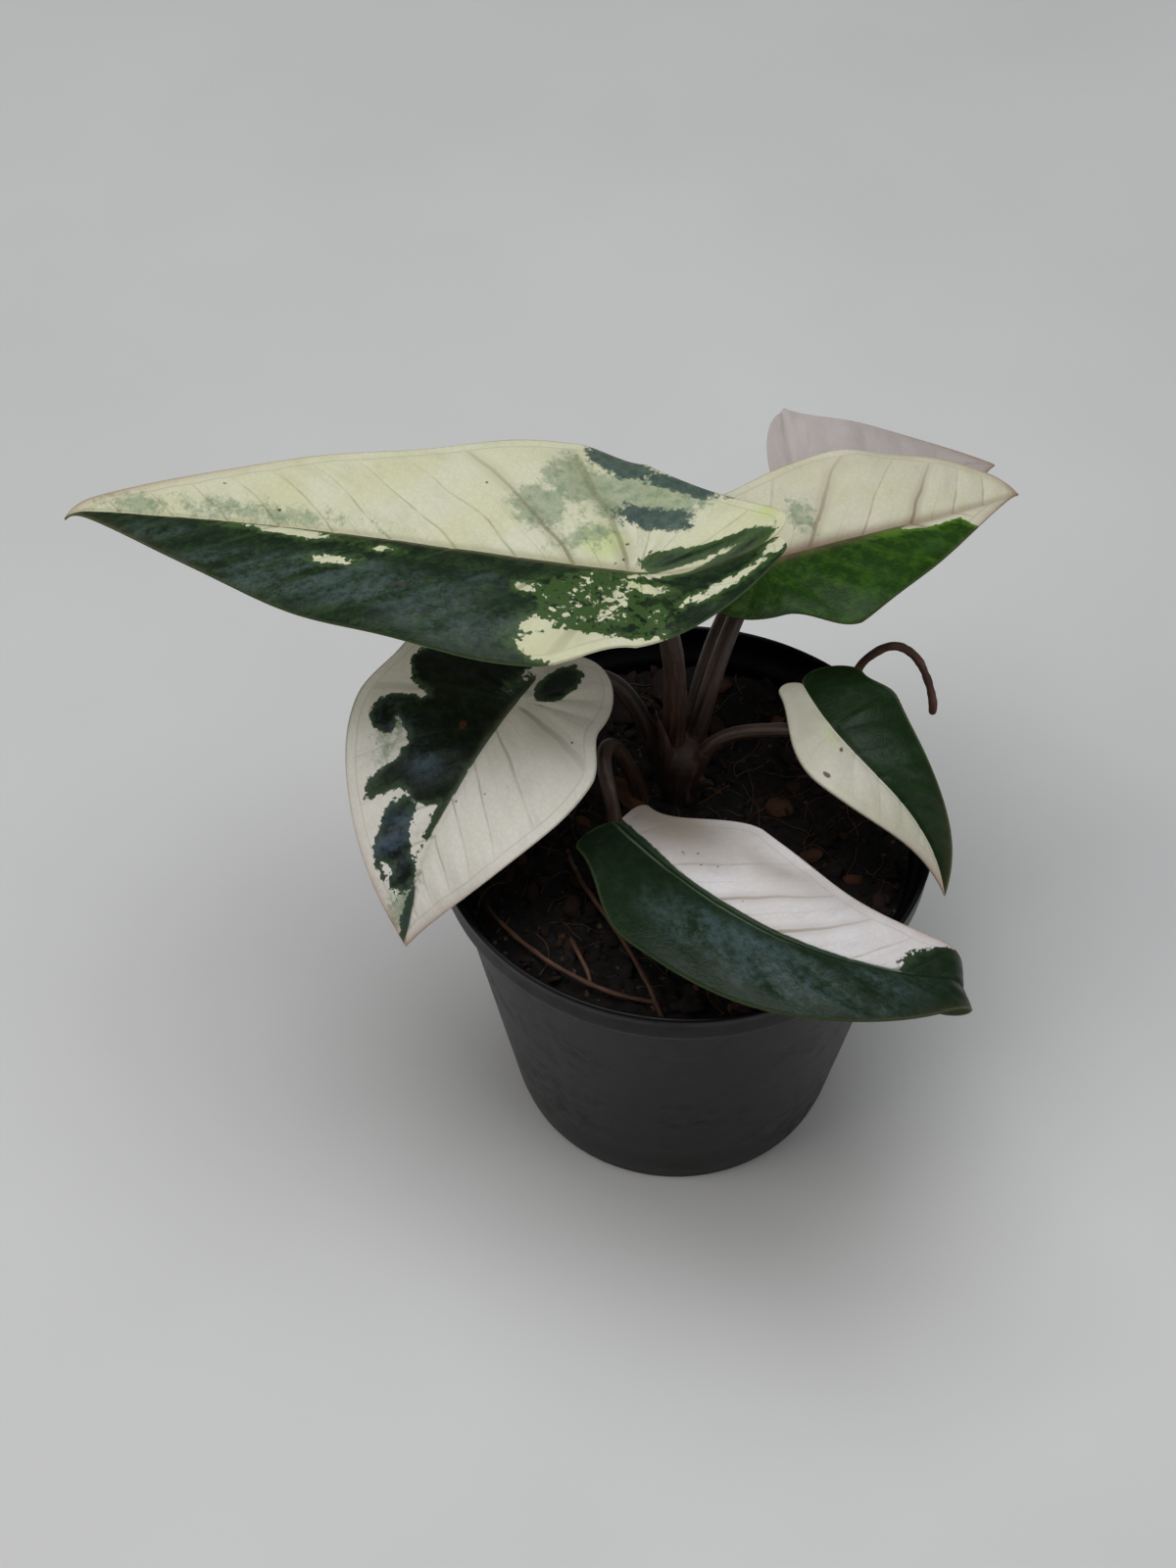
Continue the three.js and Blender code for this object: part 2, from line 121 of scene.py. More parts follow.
@dataclass
class Leaf:
    """One leaf. Feet are where its veins leave the midrib, counted from the junction."""

    slot: str
    midrib: tuple
    left: Half
    right: Half
    curl: tuple
    ripple: tuple
    joined: float
    petiole: tuple
    petiole_radius: float
    feet: tuple
    paint: Paint
    petiole_end: float = 0.0
    rise: float = 12.0
    droop: float = 20.0
    lobe_lift: float = 0.0
    lobe_swing: float = 0.0
    slope: float = 1.0
    bold: tuple = ()
    patches: tuple = ()
    tints: dict = field(default_factory=dict)


# Tints are ellipses too: along, across, length, width and turn
# The bluish sheen tint is painted light: colour that stands for the lamp's reflection on the gloss.
# The brownish darkening tint is painted shade: colour that stands for shade and cast shadow.
TINTS = ("veil", "shade", "painted_sheen", "glow", "streak", "painted_shade", "mark")
NO_TINT = -20.0
MARBLE_LEVEL = 0.85

LEAVES = {
    "long": Leaf(
        slot="leaf_green",
        midrib=((-10, 14, 150), (-48, 19, 152), (-84, 28, 149), (-124, 39, 142)),
        left=Half(22, 28.5, 0.14, 2.5, 1.4, 28, 6, 1, green=8),
        right=Half(29, 34, 0.13, 1.1, 0.9, 28, 3, 1),
        curl=(8, 45), ripple=(1.0, 3, 1.0), joined=25, droop=22, lobe_lift=10, lobe_swing=-7,
        petiole=((-1, 13, 80), (-2, 13, 104), (-3, 13, 127)), petiole_radius=2.5,
        feet=(-22, -17, -11, -5, 2, 13, 25, 38, 51, 63, 75, 87, 99, 111), slope=1.15, bold=(4, 5),
        paint=Paint(cream=(212, 210, 172), pale=(218, 216, 192), flecks=1.0, clouds=0.8, veining=0.95),
        patches=(
            # The seam between the lobes swings to the far side
            Patch("green", -13, -2.1, 13.6, 3.7, ragged=0.3),
            # Near half: marbling, streaks on the lobe and cream at the margin
            Patch("marble", 9.5, 11, 12, 9.5, ragged=2.6),
            Patch("marble", -2, 15, 7, 5, ragged=2.6),
            Patch("cream", 12, 23.5, 9.5, 4, ragged=1.4),
            Patch("cream", 0, 23.5, 13, 3.6, turn=8, ragged=1.6),
            Patch("cream", 18, 19, 3.4, 1.6, turn=20, ragged=1.2),
            Patch("cream", -2, 6, 3.4, 1.7, turn=-12, ragged=1),
            Patch("cream", -9, -0.6, 9, 0.9, turn=14, ragged=0.8),
            Patch("cream", -17, 7.6, 8.5, 1.1, turn=20, ragged=1.4),
            Patch("cream", -26, 3.2, 2, 2.2, ragged=1.6),
            Patch("cream", 21.5, 9.2, 1.7, 1.2, ragged=1.2),
            Patch("cream", 72, 1.8, 9, 1.3, turn=-3, ragged=0.8),
            Patch("cream", 60, 9, 4, 1.3, ragged=1.6),
            Patch("cream", 52, 4, 1.6, 0.7),
        ),
        tints=dict(
            veil=[(1, -19, 16, 8.5), (16, -21, 6, 9, 25), (22, -13, 7, 6, -30), (12, -7, 7, 3.5, 30),
                  (84, -2.4, 22, 2.2), (107, -2.4, 8, 2.4)],
            shade=[(-1.5, -13.2, 9, 3.4, -6), (6.5, -29, 10, 4.4, -30), (-7, -22.4, 12, 2.6, -28)],
            mark=[(3, -6, 0.5, 0.4), (3.5, -2.3, 0.4, 0.35), (-2, -5, 0.4, 0.35), (5, -1.2, 0.35, 0.3),
                  (14, -12, 0.45, 0.3), (25, -15, 0.4, 0.3), (45, 14, 0.6, 0.5), (76, -3.5, 0.6, 0.4),
                  (90, -9, 0.5, 0.3)],
            glow=[(8, -6, 6, 5), (-25, -8, 3.5, 4), (0.5, 4.5, 3, 2)],
            # Painted sheen: bluish reflection of the soft light on the green half, as colour
            painted_sheen=[(62, 15, 40, 8), (32, 20, 15, 7), (100, 6, 14, 4), (29, 9, 8, 3)],
        ),
    ),
    "right": Leaf(
        slot="leaf_cream",
        midrib=((16, 39, 126), (34, 45, 127), (53, 54, 124), (73, 68, 117)),
        left=Half(21, 26, 0.32, 2, 0.65, 18, 8, 2),
        right=Half(16.5, 23, 0.2, 1.15, 1.35, 14, 4, 2, green=8),
        curl=(4, 20), ripple=(0.8, 2.5, 0.4), joined=10, rise=11, droop=22,
        petiole=((1, 13.5, 80), (4, 17, 101), (9, 27, 114)), petiole_radius=2.1,
        feet=(-15, -9, -4, 2, 11, 24, 37, 48, 57), slope=0.8, bold=(4, 6),
        paint=Paint(
            cream=(212, 208, 176), pale=(218, 214, 192), deep=(30, 58, 10), mid=(76, 116, 30),
            painted_sheen=(58, 88, 44), rib=(128, 98, 82), vein=(122, 100, 76),
            ragged=0.8, clouds=0.9, specks=0.2, ribbing=1.0, veining=0.9, rib_width=2.0,
        ),
        patches=(Patch("cream", 60, -2, 12.5, 9, ragged=0.8), Patch("cream", 45, -1.2, 12, 1.7, ragged=0.5)),
        tints=dict(
            veil=[(12.5, 8.5, 3, 4)],
            # Painted sheen: bluish reflection of the soft light on the green half, as colour
            painted_sheen=[(16, -16, 10, 3), (34, -9, 8, 3)],
            # Painted shadow: the long leaf's shadow on the cream half's foot, as brownish colour
            painted_shade=[(-10, 8, 12, 12)],
        ),
    ),
    "back": Leaf(
        slot="leaf_cream",
        midrib=((26, 69, 118), (41, 74, 119), (57, 83, 112), (72, 91, 104)),
        left=Half(23, 23.5, 0.08, 0.9, 1, 5, 8, 2),
        right=Half(18, 20, 0.25, 1.5, 1, 6, 6, 2),
        curl=(2, 10), ripple=(0.7, 2, 2.2), joined=3,
        petiole=((1, 14.5, 80), (4, 26, 102), (13, 46, 112)), petiole_radius=1.9,
        feet=(-10, -5, 0, 7, 17, 28, 39, 49, 57), slope=0.4,
        paint=Paint(
            cream=(184, 174, 168), pale=(194, 186, 184), vein=(168, 152, 140), rib=(186, 172, 160),
            specks=0.1, veining=0.5,
        ),
    ),
    "left": Leaf(
        slot="leaf_cream",
        midrib=((-35, 9, 116), (-45, -8, 114), (-53, -21, 104), (-58, -32, 88)),
        left=Half(19.5, 25, 0.2, 1.7, 1.15, 18, 6, 2),
        right=Half(28.5, 30.5, 0.22, 1.65, 1.2, 18, 9, 2),
        curl=(2, 10), ripple=(0.7, 2, 0.2), joined=15,
        petiole=((-2.5, 13, 84), (-9, 16.5, 102), (-18, 19, 112)), petiole_radius=2,
        feet=(-14, -9, -4.5, 1, 9, 18, 27, 36, 44, 51), bold=(3,),
        paint=Paint(
            cream=(226, 221, 208), pale=(232, 227, 218), deep=(15, 22, 13), mid=(58, 74, 52),
            painted_sheen=(74, 90, 104), rib=(176, 172, 148), specks=0.5, ribbing=0.25, veining=0.8,
        ),
        patches=(
            Patch("green", 1, -8, 13, 11, ragged=1.0, one_half=True),
            Patch("green", 0, -17.5, 9, 7, ragged=1.2),
            Patch("green", 16, -19.5, 5, 6.2, turn=30, ragged=1.0),
            Patch("green", 14, -8, 9, 10, ragged=0.8, one_half=True),
            Patch("green", 23, -7, 7.5, 7.5, ragged=1.0, one_half=True),
            Patch("green", 27, -12.5, 8.5, 2.6, turn=-35, ragged=0.8),
            Patch("green", 38.5, -7.8, 8.5, 3.8, turn=6, ragged=1.2),
            Patch("green", 44, -4.5, 6, 3, turn=20, ragged=1.4),
            Patch("green", 31, -1.3, 8, 1.0, turn=-4, ragged=0.8, one_half=True),
            Patch("green", 53, -0.8, 7, 0.9, ragged=0.5, one_half=True),
            Patch("green", -8, 5.2, 7, 4.2, turn=-8, ragged=0.7),
            Patch("cream", -10, -1.6, 6, 1.3, turn=-10, ragged=1.2),
            Patch("cream", 20, -16.8, 2.6, 0.9, turn=40, ragged=1.2),
            Patch("cream", 37, -3.6, 3, 1.0, turn=30, ragged=1.4),
            Patch("cream", 45, -7.5, 2, 0.7, turn=60, ragged=1.2),
        ),
        tints=dict(
            veil=[(51, -2.6, 8, 2.4), (22, -18, 5, 2.4)],
            # Painted sheen: bluish reflection of the soft light on the green patches, as colour
            painted_sheen=[(22, -9, 6, 5), (39, -8, 10, 6), (16, -20, 6, 7), (54, -1, 8, 3)],
            mark=[(12, -6.2, 1.1, 0.8), (6, 16.5, 0.5, 0.4), (20, 10, 0.35, 0.3), (27, 1.2, 0.35, 0.3),
                  (28, -16, 0.45, 0.4)],
        ),
    ),
    "front": Leaf(
        slot="leaf_green",
        midrib=((-13, -10, 98), (6, -31, 100), (27, -44, 100), (51, -47, 96)),
        left=Half(7, 20.5, 0.24, 1.2, 0.7, 1.8, 4, 2),
        right=Half(12, 20.5, 0.24, 2.1, 1, 2.5, 5, 2, green=8),
        curl=(18, 150), ripple=(0.6, 2.5, 1.4), joined=1,
        petiole=((-7, 9, 76), (-14, 8, 101), (-17, 0, 107)), petiole_radius=1.8, petiole_end=1,
        feet=(-5, 2, 13, 27, 42, 57, 70, 80), slope=1.5, bold=(3, 4),
        paint=Paint(
            cream=(214, 207, 203), pale=(224, 220, 222), deep=(20, 36, 18), mid=(44, 62, 40),
            painted_sheen=(74, 92, 92), vein=(150, 136, 118), rib=(128, 148, 120),
            ragged=0.4, clouds=0.7, specks=0.45, ribbing=0.0, veining=1.0,
        ),
        patches=(
            Patch("green", 6, 0.3, 12, 0.8, ragged=0.2),
            Patch("green", 38, 0.1, 34, 0.6, ragged=0.2),
            Patch("green", 84, 1.5, 15, 5.5, ragged=1.3),
        ),
        tints=dict(
            streak=[(8, -1.1, 12, 0.5, 1), (31, -0.9, 20, 0.4)],
            # Painted shade: the far half's curled foot darkened as colour
            painted_shade=[(4, 8, 26, 10, 10), (34, 13, 30, 4, 2)],
            mark=[(15, 4, 0.6, 0.35), (17.5, 6, 0.5, 0.4), (20, 4.5, 0.35, 0.3), (33, 3, 0.5, 0.3)],
            # Painted sheen: bluish reflection of the soft light on the green half, as colour
            painted_sheen=[(44, -9, 30, 8), (66, -4, 12, 4)],
        ),
    ),
    "small": Leaf(
        slot="leaf_green",
        midrib=((26, 17, 110), (36, -1, 110), (47, -11, 103), (54, -21, 91)),
        left=Half(13, 16.5, 0.2, 1.5, 1.1, 5, 4, 2, green=8),
        right=Half(6, 12, 0.35, 1.4, 1.2, 3, 2.5, 2),
        curl=(2, 10), ripple=(0.5, 2, 0.8), joined=2,
        petiole=((2, 11.5, 80), (5, 10.5, 98), (14, 11.5, 103)), petiole_radius=1.7, petiole_end=12,
        feet=(-5, 1, 8, 15, 22, 29),
        paint=Paint(
            cream=(200, 196, 174), pale=(206, 202, 186), deep=(20, 38, 14), mid=(44, 70, 36),
            painted_sheen=(52, 72, 54), rib=(96, 112, 70),
            ragged=0.2, clouds=0.6, specks=0.15, ribbing=0.0, veining=0.35,
        ),
        tints=dict(
            # Painted sheen: bluish reflection of the soft light on the green half, as colour
            painted_sheen=[(8, 7, 7, 4), (26, 6, 10, 4)],
            glow=[(14, -1.6, 3, 1.6)],
            mark=[(18, -2.4, 1.0, 0.4, -50), (20.5, -9.3, 0.9, 0.6)],
        ),
    ),
}


class Blade:
    """Sizes of a blade's sheet and relief. Columns of faces crowd towards the midrib."""

    spacing = 0.5
    crowding = 1.25
    thickness = 0.72
    margin_thickness = 0.4
    margin_bulge = 0.14
    groove = 0.35
    vein_groove = 0.14
    vein_ridge = 0.3
    quilt = 0.35
    waves = 0.2
    keel_height = 1.25
    keel_width = 1.25


class Veins:
    """Course of the side veins. Fan is millimetres of feet for each radian behind the junction."""

    first_slope = 0.3
    settling = 12.0
    fan = 12.0
    halvings = 30


# Other driving dimensions, which agree with the part wherever it has them

PETIOLE_DROP = 1.5
PARTING = 97.0
STALKS_FROM = PARTING - 2.5
STEM_UP_TO = PARTING + 0.3
DRAIN_HOLES, DRAIN_RADIUS, DRAIN_CIRCLE = 6, 4.0, 25.0


class Pot:
    height = 90.0
    rim_radius = 54.0
    lip_height = 8.0
    lip_inset = 3.2
    base_radius = 37.0
    wall = 1.2
    floor = 1.6
    sectors = 192


class Mix:
    level = 82.0
    edge_drop = 1.5
    crumb = 0.9
    gap = 0.3
    rings = 110
    sectors = 380


class Chips:
    count = 48
    smallest = 1.3
    largest = 3.2
    longest = 1.8
    flatness = 0.55
    tilt = 0.5
    lift = 0.2
    wall_margin = 4.0
    stem_margin = 10.0
    seed = 11


class Stem:
    x, y = 0.0, 12.6
    foot, top = 73.0, 93.0
    foot_radius, top_radius = 4.0, 5.2


OLD_SHEATHS = (
    ((-2.5, 10.5, 87), (-5.5, 9, 110), 1.9),
    ((2, 10.5, 86), (6.5, 5, 93), 1.6),
    ((-2.5, 12.5, 86), (-9.5, 15, 94), 1.5),
)
ROOTS = {
    "front_root": (
        0.55,
        ((-43, -16, 80), (-35, -29, 84), (-20, -41, 84.5), (0, -43, 80)),
        ((-24, -26, 80), (-23, -32, 84.5), (-21, -37, 85), (-20, -41, 84.5)),
    ),
    "side_root": (0.55, ((-25, 0, 80), (-21, -17, 86), (-13, -33, 88.5), (-5, -48, 81))),
    "arching_root": (1.0, ((34, 25, 76), (39.5, 34, 98.5), (49.5, 36, 101.5), (56, 31, 87))),
}
WANDER_SEED = 7
LOOSE_BITS, FIBRES = 620, 150


# Small tools for numbers and meshes


def smooth_step(low, high, value):
    """0 below low and 1 above high, with an even turn between them."""
    share = np.clip((value - low) / (high - low), 0, 1)
    return share * share * (3 - 2 * share)


def hump(value, width):
    """1 at 0, and smoothly down to 0 beyond this width."""
    return np.exp(-((value / width) ** 2))


def bezier_through(points):
    """Controls of the cubic Bezier curve that passes four points at equal steps."""
    a, b, c, d = (np.array(point, float) for point in points)
    return a, (-5 * a + 18 * b - 9 * c + 2 * d) / 6, (2 * a - 9 * b + 18 * c - 5 * d) / 6, d


def bezier(controls, share):
    t = np.asarray(share, float)[..., None]
    a, b, c, d = controls
    return (1 - t) ** 3 * a + 3 * t * (1 - t) ** 2 * b + 3 * t**2 * (1 - t) * c + t**3 * d


def bezier_slope(controls, share):
    t = np.asarray(share, float)[..., None]
    a, b, c, d = controls
    return 3 * ((1 - t) ** 2 * (b - a) + 2 * t * (1 - t) * (c - b) + t**2 * (d - c))


def unit(vectors):
    return vectors / np.linalg.norm(vectors, axis=-1, keepdims=True)


def circle(sectors):
    """Cosine and sine at each of the equal sectors of a circle."""
    angles = [2 * math.pi * k / sectors for k in range(sectors)]
    return [(math.cos(angle), math.sin(angle)) for angle in angles]


def add_mesh(name, vertices, faces, attributes=None, corner_places=None):
    """A smooth mesh object from vertices in millimetres, with its named vertex attributes."""
    mesh = bpy.data.meshes.new(name)
    mesh.from_pydata((np.asarray(vertices, float) * MM).tolist(), [], faces)
    for key, values in (attributes or {}).items():
        values = np.asarray(values, float)
        kind, part = ("FLOAT", "value") if values.ndim == 1 else ("FLOAT_VECTOR", "vector")
        mesh.attributes.new(key, kind, "POINT").data.foreach_set(part, values.ravel())
    if corner_places is not None:
        layer = mesh.uv_layers.new(name="OFBake")
        layer.data.foreach_set("uv", np.asarray(corner_places, float).ravel())
    mesh.polygons.foreach_set("use_smooth", [True] * len(mesh.polygons))
    mesh.update()
    piece = bpy.data.objects.new(name, mesh)
    bpy.context.scene.collection.objects.link(piece)
    return piece


def finish_piece(piece, material, node):
    """Dresses a piece and ties it to the frame."""
    piece.data.materials.clear()
    piece.data.materials.append(material)
    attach(piece, "root")
    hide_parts(node)


def apply_modifiers(piece):
    """Turns what a piece's modifiers make into its own mesh."""
    graph = bpy.context.evaluated_depsgraph_get()
    made = bpy.data.meshes.new_from_object(piece.evaluated_get(graph))
    piece.modifiers.clear()
    old = piece.data
    piece.data = made
    bpy.data.meshes.remove(old)
    made.polygons.foreach_set("use_smooth", [True] * len(made.polygons))


def closed_faces(rings, sectors, inward=False):
    """Faces of a closed skin: a point, rings of equal sectors and a last point.

    Inward turns the faces round, for rings that run down from the top.
    """
    faces = [(0, 1 + (k + 1) % sectors, 1 + k) for k in range(sectors)]
    last = 1 + (rings - 1) * sectors
    for start in range(1, last, sectors):
        for k in range(sectors):
            a, b = start + k, start + (k + 1) % sectors
            faces.append((a, b, b + sectors, a + sectors))
    faces += [(last + k, last + (k + 1) % sectors, last + sectors) for k in range(sectors)]
    return [face[:1] + face[:0:-1] for face in faces] if inward else faces


def tube(path, radii, sides, round_end=4):
    """Vertices, faces and skin places of a closed tube with rounded ends."""
    path, radii = np.asarray(path, float), np.asarray(radii, float)
    forward = unit(np.gradient(path, axis=0))
    cap = np.linspace(0, math.pi / 2, round_end + 1)[1:-1]
    start, end = forward[0] * radii[0], forward[-1] * radii[-1]
    head = [(path[0] - start * math.cos(a), forward[0], radii[0] * math.sin(a)) for a in cap]
    tail = [(path[-1] + end * math.cos(a), forward[-1], radii[-1] * math.sin(a)) for a in cap[::-1]]
    rings = head + list(zip(path, forward, radii)) + tail
    side = unit(np.cross(forward[0], (0.3, 0.9, 0.1)))
    vertices, skin = [path[0] - start], [(0, 0, 0)]
    travelled = 0.0
    previous = rings[0][0]
    for centre, ahead, radius in rings:
        side = unit(side - ahead * np.dot(side, ahead))
        across = np.cross(ahead, side)
        travelled += float(np.linalg.norm(centre - previous))
        previous = centre
        for c, s in circle(sides):
            vertices.append(centre + radius * (c * side + s * across))
            skin.append((2 * c, 2 * s, travelled))
    vertices.append(path[-1] + end)
    skin.append((0, 0, travelled))
    return np.array(vertices), closed_faces(len(rings), sides), np.array(skin)


class Heap:
    """Collects many small bodies into one mesh."""

    def __init__(self):
        self.vertices, self.faces, self.values = [], [], {}
        self.count = 0

    def add(self, vertices, faces, **values):
        self.vertices.append(vertices)
        self.faces += [tuple(i + self.count for i in face) for face in faces]
        for key, value in values.items():
            value = value if np.ndim(value) else np.full(len(vertices), value)
            self.values.setdefault(key, []).append(value)
        self.count += len(vertices)

    def piece(self, name):
        attributes = {key: np.concatenate(parts) for key, parts in self.values.items()}
        return add_mesh(name, np.concatenate(self.vertices), self.faces, attributes)


# Materials


def linear(colour):
    """Linear colour, with full alpha, of sRGB values from 0 to 255."""
    shares = [value / 255 for value in colour]
    return tuple(s / 12.92 if s < 0.04045 else ((s + 0.055) / 1.055) ** 2.4 for s in shares) + (1.0,)


class Value:
    """What a node gives, to go on with in sums, products and steps."""

    def __init__(self, painter, socket):
        self.painter, self.socket = painter, socket

    def math(self, operation, *others):
        node = self.painter.nodes.new("ShaderNodeMath")
        node.operation = operation
        return self.painter.wired(node, dict(enumerate((self, *others))))

    def __add__(self, other):
        return self.math("ADD", other)

    def __sub__(self, other):
        return self.math("SUBTRACT", other)

    def __mul__(self, other):
        return self.math("MULTIPLY", other)

    def __truediv__(self, other):
        return self.math("DIVIDE", other)

    __radd__ = __add__
    __rmul__ = __mul__

    def most(self, other):
        return self.math("MAXIMUM", other)

    def step(self, low, high, start=0.0, end=1.0):
        """Smooth step from start to end as the value goes from low to high."""
        node = self.painter.nodes.new("ShaderNodeMapRange")
        node.interpolation_type = "SMOOTHSTEP"
        return self.painter.wired(node, dict(enumerate((self, low, high, start, end))))

    def scaled(self, *factors):
        """A vector with each of its parts times its own factor."""
        node = self.painter.nodes.new("ShaderNodeVectorMath")
        node.operation = "MULTIPLY"
        return self.painter.wired(node, {0: self, 1: factors})

    def part(self, axis):
        return self.painter.wired(self.painter.nodes.new("ShaderNodeSeparateXYZ"), {0: self}, axis)


class Painter:
    """Builds one material node by node."""

    def __init__(self, name, specular=0.5):
        self.material = bpy.data.materials.new(name)
        self.material.use_nodes = True
        self.nodes, self.links = self.material.node_tree.nodes, self.material.node_tree.links
        self.nodes.clear()
        self.shader = self.nodes.new("ShaderNodeBsdfPrincipled")
        output = self.nodes.new("ShaderNodeOutputMaterial")
        self.links.new(self.shader.outputs["BSDF"], output.inputs["Surface"])
        self.set("Specular IOR Level", specular)

    def feed(self, socket, value):
        if isinstance(value, Value):
            self.links.new(value.socket, socket)
        else:
            socket.default_value = value

    def set(self, name, value):
        self.feed(self.shader.inputs[name], value)

    def wired(self, node, inputs, output=0):
        """What a node gives with these numbers and values on its inputs."""
        for key, value in inputs.items():
            self.feed(node.inputs[key], value)
        return Value(self, node.outputs[output])

    def read(self, name, output="Fac"):
        node = self.nodes.new("ShaderNodeAttribute")
        node.attribute_name = name
        return self.wired(node, {}, output)

    def object_place(self):
        """Place on the object in millimetres."""
        place = self.wired(self.nodes.new("ShaderNodeTexCoord"), {}, "Object")
        return place.scaled(1 / MM, 1 / MM, 1 / MM)

    def noise(self, vector, size, detail=3, roughness=0.55):
        """Noise about 0, from about -0.5 to 0.5, with lumps of this size."""
        inputs = {"Vector": vector, "Scale": 1 / size, "Detail": detail, "Roughness": roughness}
        return self.wired(self.nodes.new("ShaderNodeTexNoise"), inputs, "Fac") - 0.5

    def cells(self, vector, size, output="Distance", feature="F1", randomness=1.0):
        node = self.nodes.new("ShaderNodeTexVoronoi")
        node.feature = feature
        return self.wired(node, {"Vector": vector, "Scale": 1 / size, "Randomness": randomness}, output)

    def mix(self, factor, a, b):
        """Colour a where the factor is 0 and b where it is 1."""
        node = self.nodes.new("ShaderNodeMix")
        node.data_type = "RGBA"
        a, b = (linear(colour) if isinstance(colour, tuple) else colour for colour in (a, b))
        return self.wired(node, {0: factor, 6: a, 7: b}, 2)

    def layers(self, colour, *coats):
        """A colour under coats, each given as its colour and how much of it there is."""
        for coat, amount in coats:
            colour = self.mix(amount, colour, coat)
        return colour

    def skin(self, colour, roughness, relief, height, strength=1.0):
        """The finished material. Its relief stands this many millimetres high."""
        inputs = {"Height": relief, "Distance": height * MM, "Strength": strength}
        self.set("Base Color", colour)
        self.set("Roughness", roughness)
        self.set("Normal", self.wired(self.nodes.new("ShaderNodeBump"), inputs))
        return self.material


def green_skin(p, paint, level, place, grain):
    """Dark green, lighter by a patch's edge, with clouds, a painted bluish sheen and cream flecks."""
    blots = p.noise(place, 2.2, 4, 0.65).step(-0.02, 0.14, -2.2, 1.2) * p.read("tone")
    depth = level + 2.2 * p.noise(grain, 3.5, 4, 0.6) + blots
    clouds = p.noise(grain, 4.5, 4, 0.62) + 0.4 * p.noise(place, 1.3)
    cloudy = 0.4 * paint.clouds
    haze = p.noise(grain, 6, 4, 0.6) + 0.9 * p.noise(place, 1.8, 5, 0.75)
    # Painted sheen: bluish grey in clouds where the soft light's reflection would lie on the gloss
    painted_sheen = haze.step(-0.16, 0.26) * p.read("painted_sheen").step(-1.5, 4)
    fleck = tuple(round((c + m) / 2) for c, m in zip(paint.cream, paint.mid))
    return p.layers(
        paint.mid,
        (paint.deep, depth.step(0.2, 1.7)),
        (paint.mid, clouds.step(-0.02, 0.26, 0, cloudy)),
        (paint.mid, p.noise(place, 3.4, 5, 0.7).step(-0.05, 0.16, 0, cloudy)),
        (paint.painted_sheen, 0.8 * painted_sheen),
        (paint.rib, p.read("streak").step(-0.1, 0.35, 0, 0.42)),
        (fleck, p.noise(place, 1.5, 4, 0.7).step(0.2, 0.26, 0, 0.4 * paint.flecks)),
    )


def cream_skin(p, paint, place, grain):
    """Cream under pale and dark veils of green, with a lime tint in places and a brownish painted shade."""
    faint = tuple(round(0.86 * channel) for channel in paint.cream)
    blotch = p.noise(place, 3.4, 5, 0.68) + 0.5 * p.noise(grain, 6)
    bite = p.noise(place, 1, 5, 0.75) + 0.12 * p.cells(place, 1.3, "Color").part("X")
    veil = (p.read("veil") + 10 * blotch + 8 * bite).step(-0.6, 2.6)
    thick = p.noise(place, 2.4, 5, 0.7).step(-0.12, 0.2, 0.6, 1)
    shade = (p.read("shade") + 4 * blotch + 4.5 * bite).step(0, 0.9)
    dark = p.mix(p.noise(place, 2, 4, 0.7).step(-0.1, 0.2), paint.shade, paint.veil_dark)
    return p.layers(
        paint.cream,
        (paint.pale, p.noise(place, 16).step(-0.25, 0.25)),
        (faint, p.noise(grain, 4, 4, 0.6).step(-0.05, 0.3, 0, 0.35)),
        ((196, 212, 128), p.read("glow").step(-1, 3, 0, 0.55)),
        (paint.veil, veil * thick),
        (dark, 0.95 * shade),
        # Painted shade: brownish darkening where the blade lies in shade or in another leaf's shadow
        (paint.painted_shade, p.read("painted_shade").step(-3, 9, 0, 0.85)),
    )


def vein_lines(p, paint, place, grain, edge):
    """How clear the side veins are, with halos, fainter veins between and a hoop by the margin."""
    strength, bold, pitch = p.read("vein"), p.read("bold"), p.read("pitch")
    phase = p.read("phase") + 0.4 * p.noise(place, 24, 2)
    patchy = p.noise(grain.scaled(0.1, 1, 1), 1.6).step(-0.25, 0.2, 0.25, 0.75)
    seen = patchy.most(bold) * edge.step(1.4, 2.8) * strength

    def line(own_phase, width):
        """1 on a vein, which lies where its phase is a whole number, and 0 off it."""
        away = (own_phase - own_phase.math("ROUND")).math("ABSOLUTE") * pitch
        return (away / width).step(0.4, 1.5, 1, 0)

    width = 0.12 + 0.16 * strength + 0.2 * bold
    halo = 0.35 * line(phase, 3.5 * width) * bold
    minor = 0.4 * line(phase + 0.5, 0.11) * strength
    hoop = 2.3 + 1.2 * p.noise(place, 9)
    by_margin = (edge - hoop).math("ABSOLUTE").step(0.05, 0.35, 0.3, 0)
    return (line(phase, width).most(halo).most(minor) * seen).most(by_margin) * paint.veining


